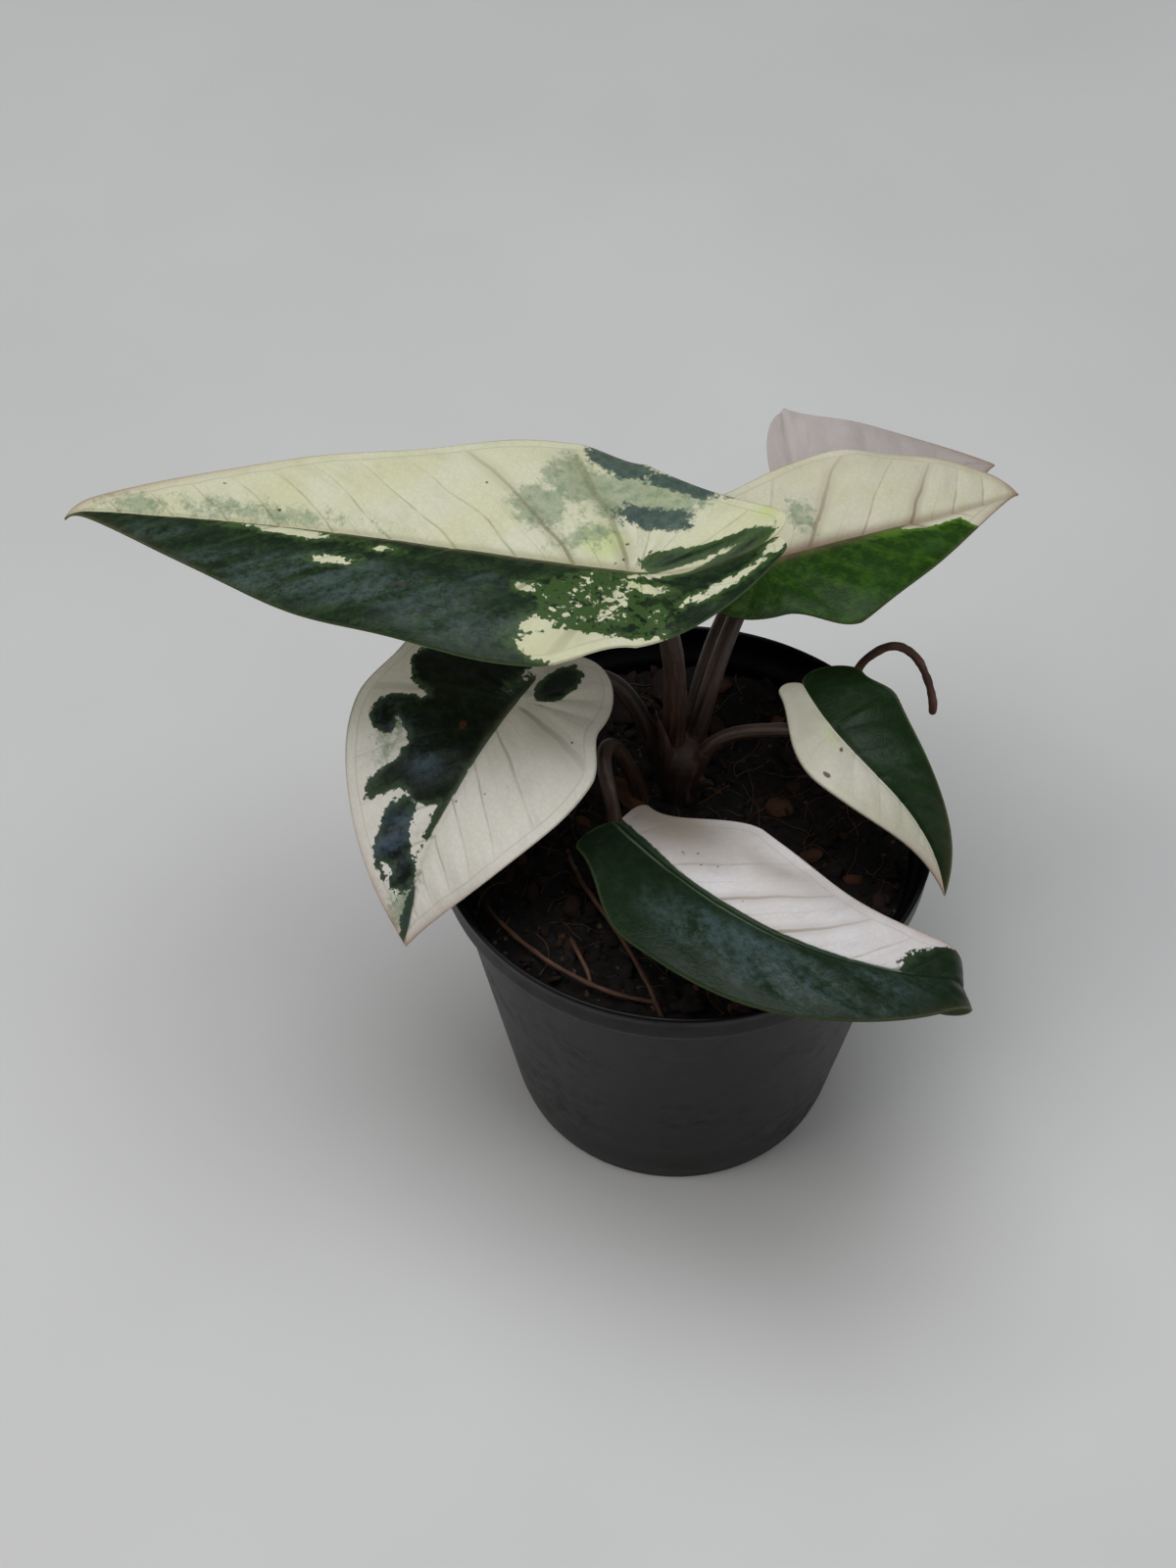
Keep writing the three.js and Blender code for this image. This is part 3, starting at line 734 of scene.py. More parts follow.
def leaf_material(name, paint):
    """Cream and green in ragged patches, with veins, netting, specks and a fine margin."""
    p = Painter(name + "_skin", specular=0.14)
    place, grain = p.read("place", "Vector"), p.read("grain", "Vector")
    edge, rib, under = p.read("edge"), p.read("rib"), p.read("under")

    cell = p.cells(place, 1.1, "Color").part("X") - 0.5
    ragged = 2.2 * p.noise(grain, 7) + 1.9 * p.noise(place, 1.5, 4, 0.65) + 0.55 * cell
    level = p.read("green") + ragged * p.read("ragged")
    green = level.step(-0.14, 0.14)
    skin = p.mix(green, cream_skin(p, paint, place, grain), green_skin(p, paint, level, place, grain))

    def by_skin(on_cream, on_green):
        return green.step(0, 1, on_cream, on_green)

    net = p.cells(place, 1.5, feature="DISTANCE_TO_EDGE", randomness=0.9).step(0.02, 0.16, 1, 0)
    lines = vein_lines(p, paint, place, grain, edge).most(0.07 * net)
    chosen = p.cells(place, 8, "Color").part("Y").step(1 - paint.specks, 1.001 - paint.specks)
    speck = p.cells(place, 8).step(0.025, 0.05, 1, 0) * chosen
    mark = (p.read("mark") + 0.7 * p.noise(place, 0.6)).step(-0.05, 0.15)
    above = p.layers(
        p.mix(green, p.mix(0.8 * lines, skin, paint.vein), p.mix(0.3 * lines, skin, paint.mid)),
        (paint.rib, rib * by_skin(paint.ribbing, 0.5 * paint.ribbing)),
        (p.mix(green, paint.blush, (84, 96, 62)), edge.step(0.1, 0.6, 1, 0) * by_skin(0.15, 0.5)),
        (paint.blush, p.read("blush") * by_skin(0.7, 0.12)),
        ((78, 46, 28), 0.85 * speck.most(mark)),
    )
    below = p.mix(green, p.mix(0.5, paint.cream, (176, 178, 140)), (96, 112, 82))
    below = p.mix(0.6 * lines.most(rib), below, (120, 96, 80))

    p.set("Subsurface Weight", 0.12)
    p.set("Subsurface Radius", (0.8, 0.9, 0.4))
    p.set("Subsurface Scale", 1.2 * MM)
    roughness = by_skin(0.5, 0.38) + 0.22 * p.noise(place, 3, 4) + 0.2 * under
    relief = 0.5 * (p.noise(place, 0.5) - lines - 0.5 * net)
    return p.skin(p.mix(under, above, below), roughness, relief, 0.1, 0.8)


def petiole_material():
    """Mauve-brown skin with fine lengthwise streaks and darker mottles."""
    p = Painter("petiole_skin")
    skin = p.read("skin", "Vector")
    streaks = p.noise(skin.scaled(1.6, 1.6, 0.12), 1, 4)
    mottles = p.noise(skin.scaled(0.9, 0.9, 0.5), 1, 4, 0.7)
    colour = p.layers(
        (40, 25, 20),
        ((66, 46, 36), p.read("height").step(0, 1)),
        ((80, 58, 46), streaks.step(-0.12, 0.2)),
        ((26, 14, 14), mottles.step(0.05, 0.16, 0, 0.7)),
    )
    return p.skin(colour, 0.46 + 0.3 * mottles, streaks + 0.4 * mottles, 0.12, 0.8)


def stem_material():
    """Brown, papery sheaths over a mauve stem, with darker feet."""
    p = Painter("stem_skin")
    place = p.object_place()
    streaks = p.noise(place.scaled(1.4, 1.4, 0.14), 1, 5, 0.65)
    mottles = p.noise(place, 1.6, 4, 0.7)
    colour = p.layers(
        (30, 18, 15),
        ((52, 34, 28), place.part("Z").step(82, 98)),
        ((70, 50, 40), streaks.step(-0.05, 0.25)),
        ((96, 72, 56), p.noise(place.scaled(0.35, 0.35, 0.08), 1).step(0.06, 0.2, 0, 0.7)),
        ((20, 12, 11), mottles.step(0.08, 0.2, 0, 0.75)),
    )
    return p.skin(colour, 0.6 + 0.4 * streaks, streaks + 0.5 * mottles, 0.3, 0.9)


def root_material():
    """Orange-brown root with paler blotches and darker flecks."""
    p = Painter("root_skin")
    skin = p.read("skin", "Vector")
    blotches = p.noise(skin.scaled(0.5, 0.5, 0.22), 1, 4)
    fine = p.noise(skin.scaled(1, 1, 0.8), 0.6, 4, 0.7)
    colour = p.mix(blotches.step(-0.15, 0.2), (64, 38, 26), (98, 64, 44))
    colour = p.mix(fine.step(0.08, 0.2, 0, 0.6), colour, (38, 22, 17))
    return p.skin(colour, 0.7 + 0.3 * fine, fine, 0.18, 0.9)


def mix_material():
    """Near-black moist mix with brown crumbs and a few pale grains."""
    p = Painter("mix_skin", specular=0.3)
    place = p.object_place()
    crumbs = p.noise(place, 1.2, 5, 0.7)
    colour = p.layers(
        (11, 8, 7),
        ((22, 15, 12), p.noise(place, 9, 4).step(-0.2, 0.25)),
        ((38, 25, 18), crumbs.step(0.02, 0.22)),
        ((96, 80, 64), p.cells(place, 0.8, "Color").part("X").step(0.975, 0.99, 0, 0.6)),
    )
    return p.skin(colour, 0.82 + 0.4 * crumbs, crumbs + 0.5 * p.noise(place, 0.4), 0.5)


def bark_material():
    """Bark bits from near black to red-brown, each with its own tone and grain."""
    p = Painter("bark_skin", specular=0.3)
    chance = p.read("chance")
    grain = p.noise(p.read("grain", "Vector"), 0.5, 4, 0.7)
    colour = p.layers(
        (20, 14, 11),
        ((42, 24, 17), chance.step(0.35, 0.75)),
        ((84, 52, 31), chance.step(0.82, 0.98)),
        ((70, 44, 32), grain.step(0, 0.22, 0, 0.55)),
        ((16, 11, 9), p.noise(p.object_place(), 2).step(0.05, 0.25, 0, 0.5)),
    )
    return p.skin(colour, 0.78 + 0.4 * grain, grain, 0.35)


def pot_material():
    """Black moulded plastic with faint scuffs, dust and dried splashes of mix."""
    p = Painter("pot_skin", specular=0.16)
    place = p.object_place()
    height = place.part("Z")
    smudge = p.noise(place, 22, 4)
    grime = p.noise(place, 4, 5, 0.7)
    dust = smudge.step(-0.05, 0.3) * grime.step(-0.1, 0.3)
    foot = height.step(2, 26, 1, 0) * grime.step(-0.12, 0.2)
    scuffs = p.noise(place.scaled(0.6, 0.6, 4), 3, 4, 0.75).step(0.2, 0.26)
    splash = p.noise(place, 1.1, 4, 0.7).step(0.2, 0.26) * height.step(60, 90)
    colour = p.layers(
        (5, 5, 6),
        ((48, 45, 41), 0.12 * dust),
        ((70, 60, 48), 0.1 * foot),
        ((100, 98, 96), 0.06 * scuffs),
        ((60, 42, 32), 0.6 * splash),
    )
    roughness = 0.36 + 0.3 * dust + 0.2 * scuffs + 0.14 * grime
    return p.skin(colour, roughness, 0.4 * p.noise(place, 0.5) + 0.6 * smudge, 0.06, 0.6)


def floor_material():
    """Pale, plain tabletop with barely seen cloudiness."""
    p = Painter("floor_skin", specular=0.3)
    place = p.object_place()
    colour = p.mix(p.noise(place, 160).step(-0.3, 0.3), (214, 213, 211), (222, 221, 219))
    return p.skin(colour, 0.6, p.noise(place, 1.2), 0.05, 0.4)


# Blades


class BladeSurface:
    """One blade's form, from its driving dimensions. Side is 1 on its left and -1 on its right."""

    def __init__(self, leaf):
        self.leaf = leaf
        self.controls = bezier_through(leaf.midrib)
        self.shares = np.linspace(0, 1, 401)
        steps = np.diff(bezier(self.controls, self.shares), axis=0)
        self.run = np.concatenate([[0], np.cumsum(np.linalg.norm(steps, axis=1))])
        self.straight = self.run[-1]
        self.length = self.straight + leaf.curl[0]
        self.longest_lobe = max(leaf.left.lobe, leaf.right.lobe)

    def half(self, side):
        return self.leaf.left if side > 0 else self.leaf.right

    def widest(self, side):
        return np.where(side > 0, self.leaf.left.widest, self.leaf.right.widest)

    def outer(self, side, along):
        """Half width, or behind the junction the lobe's outer edge."""
        half = self.half(side)
        share = np.clip(along / self.length, 0, 1)
        swell = (1 - np.cos(np.pi * np.clip(share / half.place, 0, 1))) / 2
        past = np.clip((share - half.place) / (1 - half.place), 0, 1)
        width = half.base + (half.widest - half.base) * swell
        ahead = width * (1 - past**half.fullness) ** half.drawn
        back = np.clip(-along / half.lobe, 0, 1) ** half.round
        lobe = half.offset + (half.base - half.offset) * (1 - back) ** (1 - half.round / 4)
        return np.where(along >= 0, ahead, lobe)

    def inner(self, side, along):
        """The edge of the notch between the free ends of the lobes."""
        half, joined = self.half(side), self.leaf.joined
        share = np.clip((-along - joined) / (half.lobe - joined), 0, 1)
        return np.where(along >= -joined, 0.0, half.offset * (1 - np.sqrt(1 - share**2)))

    def frame(self, along):
        """Midrib point, and the directions along it, to its left and up from the blade."""
        leaf = self.leaf
        share = np.interp(np.clip(along, 0, self.straight), self.run, self.shares)
        forward = unit(bezier_slope(self.controls, share))
        left = unit(np.cross((0, 0, 1.0), forward))
        up = np.cross(forward, left)
        curl_length, curl_degrees = leaf.curl
        curl = math.radians(curl_degrees)
        turn = (curl * np.clip((along - self.straight) / curl_length, 0, 1))[..., None]
        bow = np.sin(turn) * forward - (1 - np.cos(turn)) * up
        point = bezier(self.controls, share) + curl_length / curl * bow
        ahead = forward * np.cos(turn) - up * np.sin(turn)
        up = up * np.cos(turn) + forward * np.sin(turn)
        back = np.minimum(along, 0)[..., None]
        bend = (back / self.longest_lobe) ** 2
        point = point + back * ahead + bend * (leaf.lobe_lift * up + leaf.lobe_swing * left)
        return point, ahead, left, up

    def place(self, side, along, across):
        """Points on the smooth upper face, and the directions out of it."""
        point, _, left, up = self.frame(along)
        widest = self.widest(side)
        rise = math.radians(self.leaf.rise)
        bend = math.radians(self.leaf.droop) / widest
        angle = rise - bend * across
        height, cycles, phase = self.leaf.ripple
        wave = np.sin(2 * np.pi * cycles * along / self.length + phase + np.where(side > 0, 0, 2))
        outward = (math.sin(rise) - np.sin(angle)) / bend
        lift = (np.cos(angle) - math.cos(rise)) / bend + height * wave * (across / widest) ** 2
        point = point + (side * outward)[:, None] * left + lift[:, None] * up
        return point, up * np.cos(angle)[:, None] - left * (side * np.sin(angle))[:, None]

    def vein_course(self, foot):
        """Millimetres ahead for each across, by the midrib, and how much more at the margin."""
        settled = 1 - np.exp(-np.maximum(foot, 0) / Veins.settling)
        return Veins.first_slope + (self.leaf.slope - Veins.first_slope) * settled, 0.5 * settled

    def veins(self, side, along, across):
        """Phase of the veins, a whole number on each, and millimetres for each unit of it."""
        along = along - self.leaf.petiole_end
        reach = self.widest(side)
        low, high = np.zeros(along.shape), np.maximum(along, 0.0)
        for _ in range(Veins.halvings):
            middle = (low + high) / 2
            slope, bend = self.vein_course(middle)
            behind = middle + slope * across + bend * across**2 / reach < along
            low, high = np.where(behind, middle, low), np.where(behind, high, middle)
        fan = along < Veins.first_slope * across
        turned = np.arctan2(across, along) - math.atan2(1, Veins.first_slope)
        foot = np.where(fan, -Veins.fan * np.maximum(turned, 0), (low + high) / 2)
        feet = np.array(self.leaf.feet, float)
        feet = np.concatenate([feet, feet[-1] + (feet[-1] - feet[-2]) * np.arange(1, 8)])
        phase = np.interp(foot, feet, np.arange(len(feet))) + np.minimum(foot - feet[0], 0) / 200
        gap = np.interp(foot, (feet[1:] + feet[:-1]) / 2, np.diff(feet))
        slope, _ = self.vein_course(foot)
        spread = np.where(fan, np.hypot(along, across) / Veins.fan, 1 / np.sqrt(1 + slope**2))
        return phase, gap * np.maximum(spread, 0.05)


def colour_fields(leaf, along, signed):
    """Smooth fields that the leaf's material turns into ragged patches."""
    over_rib = np.clip(signed / 0.35, -1, 1) / 2 + 0.5
    green = leaf.right.green + (leaf.left.green - leaf.right.green) * over_rib
    ragged = np.full(along.shape, leaf.paint.ragged)
    tone = np.zeros(along.shape)
    for patch in leaf.patches:
        depth = patch.depth(along, signed)
        if patch.kind == "green":
            green = np.maximum(green, depth)
        elif patch.kind == "cream":
            green = np.minimum(green, -depth)
        else:
            inside = smooth_step(-1.0, 3.0, depth)
            green = green + (MARBLE_LEVEL - green) * inside
            tone = tone + (1 - tone) * inside
        ragged = ragged + (patch.ragged - ragged) * smooth_step(-1.5, 1.0, depth)
    fields = {"green": green, "ragged": ragged * smooth_step(0.0, 1.6, np.abs(signed)), "tone": tone}
    for kind in TINTS:
        ellipses = [Patch(kind, *ellipse) for ellipse in leaf.tints.get(kind, ())]
        depths = [ellipse.depth(along, signed) for ellipse in ellipses]
        fields[kind] = np.maximum.reduce([np.full(along.shape, NO_TINT), *depths])
    return fields


def number_blade(surface):
    """Grid of vertex numbers for each half, and the side, along and across of each vertex."""
    leaf, spacing = surface.leaf, Blade.spacing
    joined = leaf.joined
    joined_rows = max(2, round(joined / spacing))
    free_rows = max(10, round(1.3 * (surface.longest_lobe - joined) / spacing))
    columns = max(24, round(max(leaf.left.widest, leaf.right.widest) / spacing / Blade.crowding))
    shares = np.linspace(0, 1, columns + 1) ** Blade.crowding
    back = np.linspace(-joined, 0, joined_rows + 1)[:-1]
    ahead = np.linspace(0, surface.length, round(surface.length / spacing) + 1)
    middle = np.concatenate([back, ahead])
    count = len(middle)
    sides, alongs, acrosses = [np.ones(count)], [middle], [np.zeros(count)]
    grids = {}
    for side in (1, -1):
        swing = np.sin(np.linspace(np.pi / 2, 0, free_rows + 1)[:-1])
        along = np.concatenate([-joined - (surface.half(side).lobe - joined) * swing, middle])
        inner, outer = surface.inner(side, along), surface.outer(side, along)
        across = inner[:, None] + (outer - inner)[:, None] * shares
        own = np.ones(across.shape, bool)
        own[free_rows:, 0] = False
        own[-1, :] = False
        own[0, 1:] = False
        added = int(own.sum())
        grid = np.zeros(across.shape, int)
        grid[own] = count + np.arange(added)
        grid[free_rows:, 0] = np.arange(len(middle))
        grid[-1, :] = len(middle) - 1
        grid[0, :] = grid[0, 0]
        grids[side] = grid
        count += added
        sides.append(np.full(added, side))
        alongs.append(np.repeat(along[:, None], across.shape[1], 1)[own])
        acrosses.append(across[own])
    return grids, free_rows, np.concatenate(sides), np.concatenate(alongs), np.concatenate(acrosses)


def blade_faces(grids, free_rows, count):
    """Faces and corner places of both sheets and of the round margin between them.

    Each sheet of each half has its own band of the unit square of corner places.
    """
    bands = {(1, 0): 0.02, (-1, 0): 0.27, (1, 1): 0.52, (-1, 1): 0.77}
    high = 0.21
    faces, corners, rim = [], [], []
    for (side, layer), start in bands.items():
        grid = grids[side]
        rows, columns = grid.shape
        order = -1 if (side < 0) != (layer == 1) else 1
        for r in range(rows - 1):
            for c in range(columns - 1):
                found = {}
                for row, column in [(r, c), (r + 1, c), (r + 1, c + 1), (r, c + 1)][::order]:
                    place = (0.01 + 0.98 * row / (rows - 1), start + high * column / (columns - 1))
                    found.setdefault(int(grid[row, column]) + layer * count, place)
                faces.append(list(found))
                corners += found.values()
    for side, grid in grids.items():
        rim += [(side, r, -1) for r in range(grid.shape[0] - 1)]
        rim += [(side, r, 0) for r in range(free_rows)]
    ring_of = {}
    for side, r, column in rim:
        grid = grids[side]
        a, b = int(grid[r, column]), int(grid[r + 1, column])
        ring_a = ring_of.setdefault(a, 2 * count + len(ring_of))
        ring_b = ring_of.setdefault(b, 2 * count + len(ring_of))
        u, w = (0.01 + 0.98 * row / (grid.shape[0] - 1) for row in (r, r + 1))
        step = 0.008 if column else -0.008
        for layer in (0, 1):
            level = bands[side, layer] + (high if column else 0.0)
            order = -1 if (side > 0) != (column == -1) != (layer == 1) else 1
            face = [b + layer * count, a + layer * count, ring_a, ring_b]
            faces.append(face[::order])
            corners += [(w, level), (u, level), (u, level + step), (w, level + step)][::order]
    return faces, corners, ring_of


def margin_distance(surface, side, along, across):
    """Millimetres from each place to the blade's edge, by its side or by the notch."""

    def either(width, along):
        """The left or the right half's width, by the side of each place."""
        return np.where(side > 0, width(1, along), width(-1, along))

    leaf = surface.leaf
    outer, inner = either(surface.outer, along), either(surface.inner, along)
    steepness = np.where(along >= 0, (outer - either(surface.outer, along + 0.5)) / 0.5, 0)
    behind = np.where(along < 0, along + np.where(side > 0, leaf.left.lobe, leaf.right.lobe), 1e3)
    by_notch = np.where(along < -leaf.joined, across - inner, np.hypot(along + leaf.joined, across))
    by_side = (outer - across) / np.sqrt(1 + steepness**2)
    return np.maximum(np.minimum(np.minimum(by_side, behind), by_notch), 0)


def margin_ring(grids, ring_of, upper, lower):
    """Points of the round margin, between the sheets and a little outside them."""
    total, tally = np.zeros(upper.shape), np.zeros(len(upper))
    for grid in grids.values():
        pairs = ((grid[:, -1], grid[:, -2]), (grid[:, 0], grid[:, 1]))
        pairs += ((grid[0, :1], grid[1, :1]), (grid[-1, :1], grid[-2, :1]))
        for ring, inside in pairs:
            np.add.at(total, ring, upper[inside])
            np.add.at(tally, ring, 1)
    ring = np.array(list(ring_of))
    outwards = unit(upper[ring] - total[ring] / tally[ring][:, None] + 1e-9)
    return (upper[ring] + lower[ring]) / 2 + Blade.margin_bulge * outwards, ring


def build_blade(name, leaf):
    surface = BladeSurface(leaf)
    grids, free_rows, side, along, across = number_blade(surface)
    count = len(along)
    signed = side * across
    edge = margin_distance(surface, side, along, across)
    share = np.clip(along / surface.length, 0, 1)
    from_petiole = along - leaf.petiole_end
    from_junction = np.hypot(from_petiole, across)
    on_blade = smooth_step(-1.5, 1.0, from_petiole)

    phase, pitch = surface.veins(side, along, across)
    vein_gap = np.abs(phase - np.round(phase)) * pitch
    strength = smooth_step(0.5, 4.0, from_junction) * (1 - 0.7 * across / (across + edge + 0.1))
    on_vein = hump(vein_gap, 0.45) * strength * smooth_step(1.5, 3.0, edge)
    on_rib = hump(across, leaf.paint.rib_width * (1 - 0.7 * share)) * (0.25 + 0.75 * on_blade)
    quilt = (1 - np.cos(2 * np.pi * phase)) / 2 * smooth_step(2, 8, from_junction)
    quilt = quilt * smooth_step(0, 5, across) * smooth_step(0, 5, edge)
    waves = np.array([noise.noise((a / 9, b / 9, 3.1)) for a, b in zip(along, signed)])

    raised = Blade.quilt * quilt - Blade.vein_groove * on_vein + Blade.waves * waves
    raised = (raised - Blade.groove * on_rib) * smooth_step(-0.5, 2.5, edge)
    thin = Blade.margin_thickness
    keel = hump(across, Blade.keel_width * (1 - 0.6 * share)) * (1 - share) * on_blade
    depth = thin + (Blade.thickness - thin) * smooth_step(0, 6, edge)
    depth = depth + Blade.keel_height * keel + Blade.vein_ridge * on_vein
    top, normal = surface.place(side, along, across)
    upper, lower = top + raised[:, None] * normal, top + (raised - depth)[:, None] * normal
    faces, corners, ring_of = blade_faces(grids, free_rows, count)
    rim, ring = margin_ring(grids, ring_of, upper, lower)

    towards_tip = smooth_step(0.4, 1.0, share) * np.exp(-edge / 1.1)
    fields = colour_fields(leaf, along, signed) | {
        "place": np.stack([along, signed, np.zeros(count)], 1),
        "grain": np.stack([phase * 11, from_junction * 0.45, side * 9], 1),
        "edge": edge,
        "phase": phase,
        "pitch": pitch,
        "vein": strength,
        "bold": np.isin(np.round(phase), leaf.bold).astype(float),
        "rib": on_rib * (1 - 0.75 * share),
        "blush": np.maximum(towards_tip, smooth_step(4.0, 0.5, surface.length - along)),
    }
    attributes = {key: np.concatenate([value, value, value[ring]]) for key, value in fields.items()}
    attributes["under"] = np.concatenate([np.zeros(count), np.ones(count), np.full(len(ring), 0.3)])
    piece = add_mesh(name + "_leaf", np.concatenate([upper, lower, rim]), faces, attributes, corners)
    finish_piece(piece, leaf_material(name, leaf.paint), name + "_blade")
    return surface


# Petioles, stem and roots


def petiole_controls(leaf):
    """The same curve as the part's solid, up to its end under the midrib."""
    point, _, _, up = BladeSurface(leaf).frame(np.array([float(leaf.petiole_end)]))
    return bezier_through((*leaf.petiole, point[0] - PETIOLE_DROP * up[0]))


def keep_under(surface, path, radii):
    """Lowers the points of a stalk that would come up through its blade."""
    origin, tangent, side, up = surface.frame(np.array([0.0]))
    away = path - origin
    along, across = away @ tangent[0], away @ side[0]
    top, _ = surface.place(np.where(across > 0, 1, -1), along, np.abs(across))
    above = (path - top) @ up[0] + radii + 0.8
    over_blade = smooth_step(-surface.longest_lobe - 3.0, -surface.longest_lobe + 0.5, along)
    return path - (np.maximum(above, 0) * over_blade)[:, None] * up[0]


def build_petiole(name, leaf, surface, material):
    """A round stalk that swells at its top and runs out along the underside of the midrib."""
    radius = leaf.petiole_radius
    end_points, softenings = 6, 12
    path = bezier(petiole_controls(leaf), np.linspace(0, 1, 200))
    if name != "front":
        path = path[path[:, 2] > STALKS_FROM]
    shares = np.linspace(0, 1, len(path))
    radii = radius * (1.02 - 0.12 * smooth_step(0.1, 0.7, shares) + 0.1 * smooth_step(0.86, 0.98, shares))
    radii = radii * (1 + 0.05 * np.array([noise.noise((p[2] / 7, radius * 3, 0.5)) for p in path]))
    run_on = np.linspace(0.8, 14, 18)
    point, _, _, up = surface.frame(leaf.petiole_end + run_on)
    taper = radius * (1 - smooth_step(0, 15, run_on)) * 0.8 + 0.35
    under_rib = point - up * (0.55 + taper)[:, None] * 0.92
    path, radii, shares = path[:-end_points], radii[:-end_points], shares[:-end_points]
    path = np.where(shares[:, None] > 0.6, keep_under(surface, path, radii), path)
    path = np.concatenate([path, under_rib])
    for _ in range(softenings):
        path[1:-1] = (path[:-2] + 2 * path[1:-1] + path[2:]) / 4
    vertices, faces, skin = tube(path, np.concatenate([radii, taper]), 28)
    height = skin[:, 2] / skin[-1, 2]
    piece = add_mesh(name + "_stalk", vertices, faces, {"skin": skin, "height": height})
    finish_piece(piece, material, name + "_petiole")


def build_stem():
    """Petiole bases that clasp each other, grown together at the foot, with old sheath tips."""
    heap = Heap()
    foot = np.linspace((Stem.x, Stem.y, Stem.foot), (Stem.x, Stem.y, Stem.top), 12)
    heap.add(*tube(foot, np.linspace(Stem.foot_radius, Stem.top_radius, 12), 20)[:2])
    for name, leaf in LEAVES.items():
        if name != "front":
            path = bezier(petiole_controls(leaf), np.linspace(0, 1, 300))
            path = path[path[:, 2] < STEM_UP_TO]
            radii = leaf.petiole_radius * (1.32 - 0.2 * np.linspace(0, 1, len(path)))
            heap.add(*tube(path, radii, 20)[:2])
    for start, tip, radius in OLD_SHEATHS:
        shares = np.linspace(0, 1, 16)
        bow = np.sin(np.pi * shares)[:, None] * np.array([0.4, 0.3, 0.2])
        heap.add(*tube(np.linspace(start, tip, 16) + bow, radius * (1 - shares**1.3) + 0.28, 12)[:2])
    piece = heap.piece("stem_base")
    remesh = piece.modifiers.new("grown together", "REMESH")
    remesh.mode = "VOXEL"
    remesh.voxel_size = 0.38 * MM
    smooth = piece.modifiers.new("softened", "SMOOTH")
    smooth.factor = 0.5
    smooth.iterations = 5
    apply_modifiers(piece)
    finish_piece(piece, stem_material(), "stem")


def build_roots():
    """Thin roots that wander a little off their curves, the same way in every run."""
    material = root_material()
    noise.seed_set(WANDER_SEED)
    for name, (radius, *runs) in ROOTS.items():
        heap = Heap()
        for number, points in enumerate(runs):
            shares = np.linspace(0, 1, 90)
            path = bezier(bezier_through(points), shares)
            wander = [noise.noise_vector((p[0] / 5 + number * 7, p[1] / 5, p[2] / 5)) for p in path]
            path = path + 0.35 * radius * np.array(wander)
            knots = np.array([noise.noise(p) for p in path / 1.6])
            vertices, faces, skin = tube(path, radius * (0.95 + 0.22 * knots - 0.2 * number * shares), 12)
            heap.add(vertices, faces, skin=skin)
        finish_piece(heap.piece(name + "_fine"), material, name)


# Nursery pot


body_radius = Pot.rim_radius - Pot.lip_inset
lip_foot = Pot.height - Pot.lip_height


def outer_radius(z):
    return Pot.base_radius + (body_radius - Pot.base_radius) * z / lip_foot


def inner_radius(z):
    return outer_radius(z) - Pot.wall


def pot_profile():
    """Radius and height round the wall: up the outside, over the lip and down the inside."""
    height, rim, base, wall, floor = Pot.height, Pot.rim_radius, Pot.base_radius, Pot.wall, Pot.floor
    profile = [(0, 0.9), (base - 7, 0.9), (base - 5.6, 0.5), (base - 4.8, 0), (base - 1.4, 0)]
    for angle in np.linspace(0, math.pi / 2, 6)[1:]:
        profile.append((base - 1.4 + 1.4 * math.sin(angle), 1.5 - 1.5 * math.cos(angle)))
    profile += [(outer_radius(z) - 0.35 * hump(z - 14, 0.7), z) for z in np.linspace(4, lip_foot - 0.6, 26)]
    profile += [(body_radius + 0.3, lip_foot - 0.15), (body_radius + 1.0, lip_foot)]
    profile += [(rim - 1.2, lip_foot), (rim - 0.75, lip_foot + 0.3)]
    profile += [(rim - 0.6 + 0.02 * k, lip_foot + 1 + k * 0.95) for k in range(6)]
    for angle in np.linspace(0, math.pi, 9):
        profile.append((rim - 0.62 + 0.62 * math.cos(angle), height - 0.62 + 0.62 * math.sin(angle)))
    profile += [(rim - wall - 0.3, height - 2), (rim - wall - 0.7, lip_foot + 2.2)]
    profile += [(body_radius - wall + 0.9, lip_foot + 1.3), (body_radius - wall + 0.2, lip_foot + 0.5)]
    profile += [(inner_radius(z), z) for z in np.linspace(lip_foot - 0.6, floor + 1, 20)]
    return profile + [(inner_radius(floor) - 0.7, floor), (inner_radius(floor) - 5, floor), (0, floor)]


def build_pot():
    profile = pot_profile()
    vertices = [(0, 0, profile[0][1])]
    for radius, z in profile[1:-1]:
        for k, (c, s) in enumerate(circle(Pot.sectors)):
            bow = 0.12 * math.sin(6 * math.pi * k / Pot.sectors + 0.6) * smooth_step(20, 90, z)
            vertices.append(((radius + bow) * c, (radius + bow) * s, z))
    vertices.append((0, 0, profile[-1][1]))
    piece = add_mesh("nursery_pot", vertices, closed_faces(len(profile) - 2, Pot.sectors))
    drill = Heap()
    for i in range(DRAIN_HOLES):
        angle = 2 * math.pi * (i + 0.5) / DRAIN_HOLES
        x, y = DRAIN_CIRCLE * math.cos(angle), DRAIN_CIRCLE * math.sin(angle)
        drill.add(*tube(np.linspace((x, y, -5), (x, y, 8), 4), np.full(4, DRAIN_RADIUS), 40, 2)[:2])
    cutter = drill.piece("drain_cutter")
    cut = piece.modifiers.new("drain holes", "BOOLEAN")
    cut.operation = "DIFFERENCE"
    cut.object = cutter
    cut.solver = "EXACT"
    apply_modifiers(piece)
    bpy.data.objects.remove(cutter)
    finish_piece(piece, pot_material(), "pot")


# Potting mix


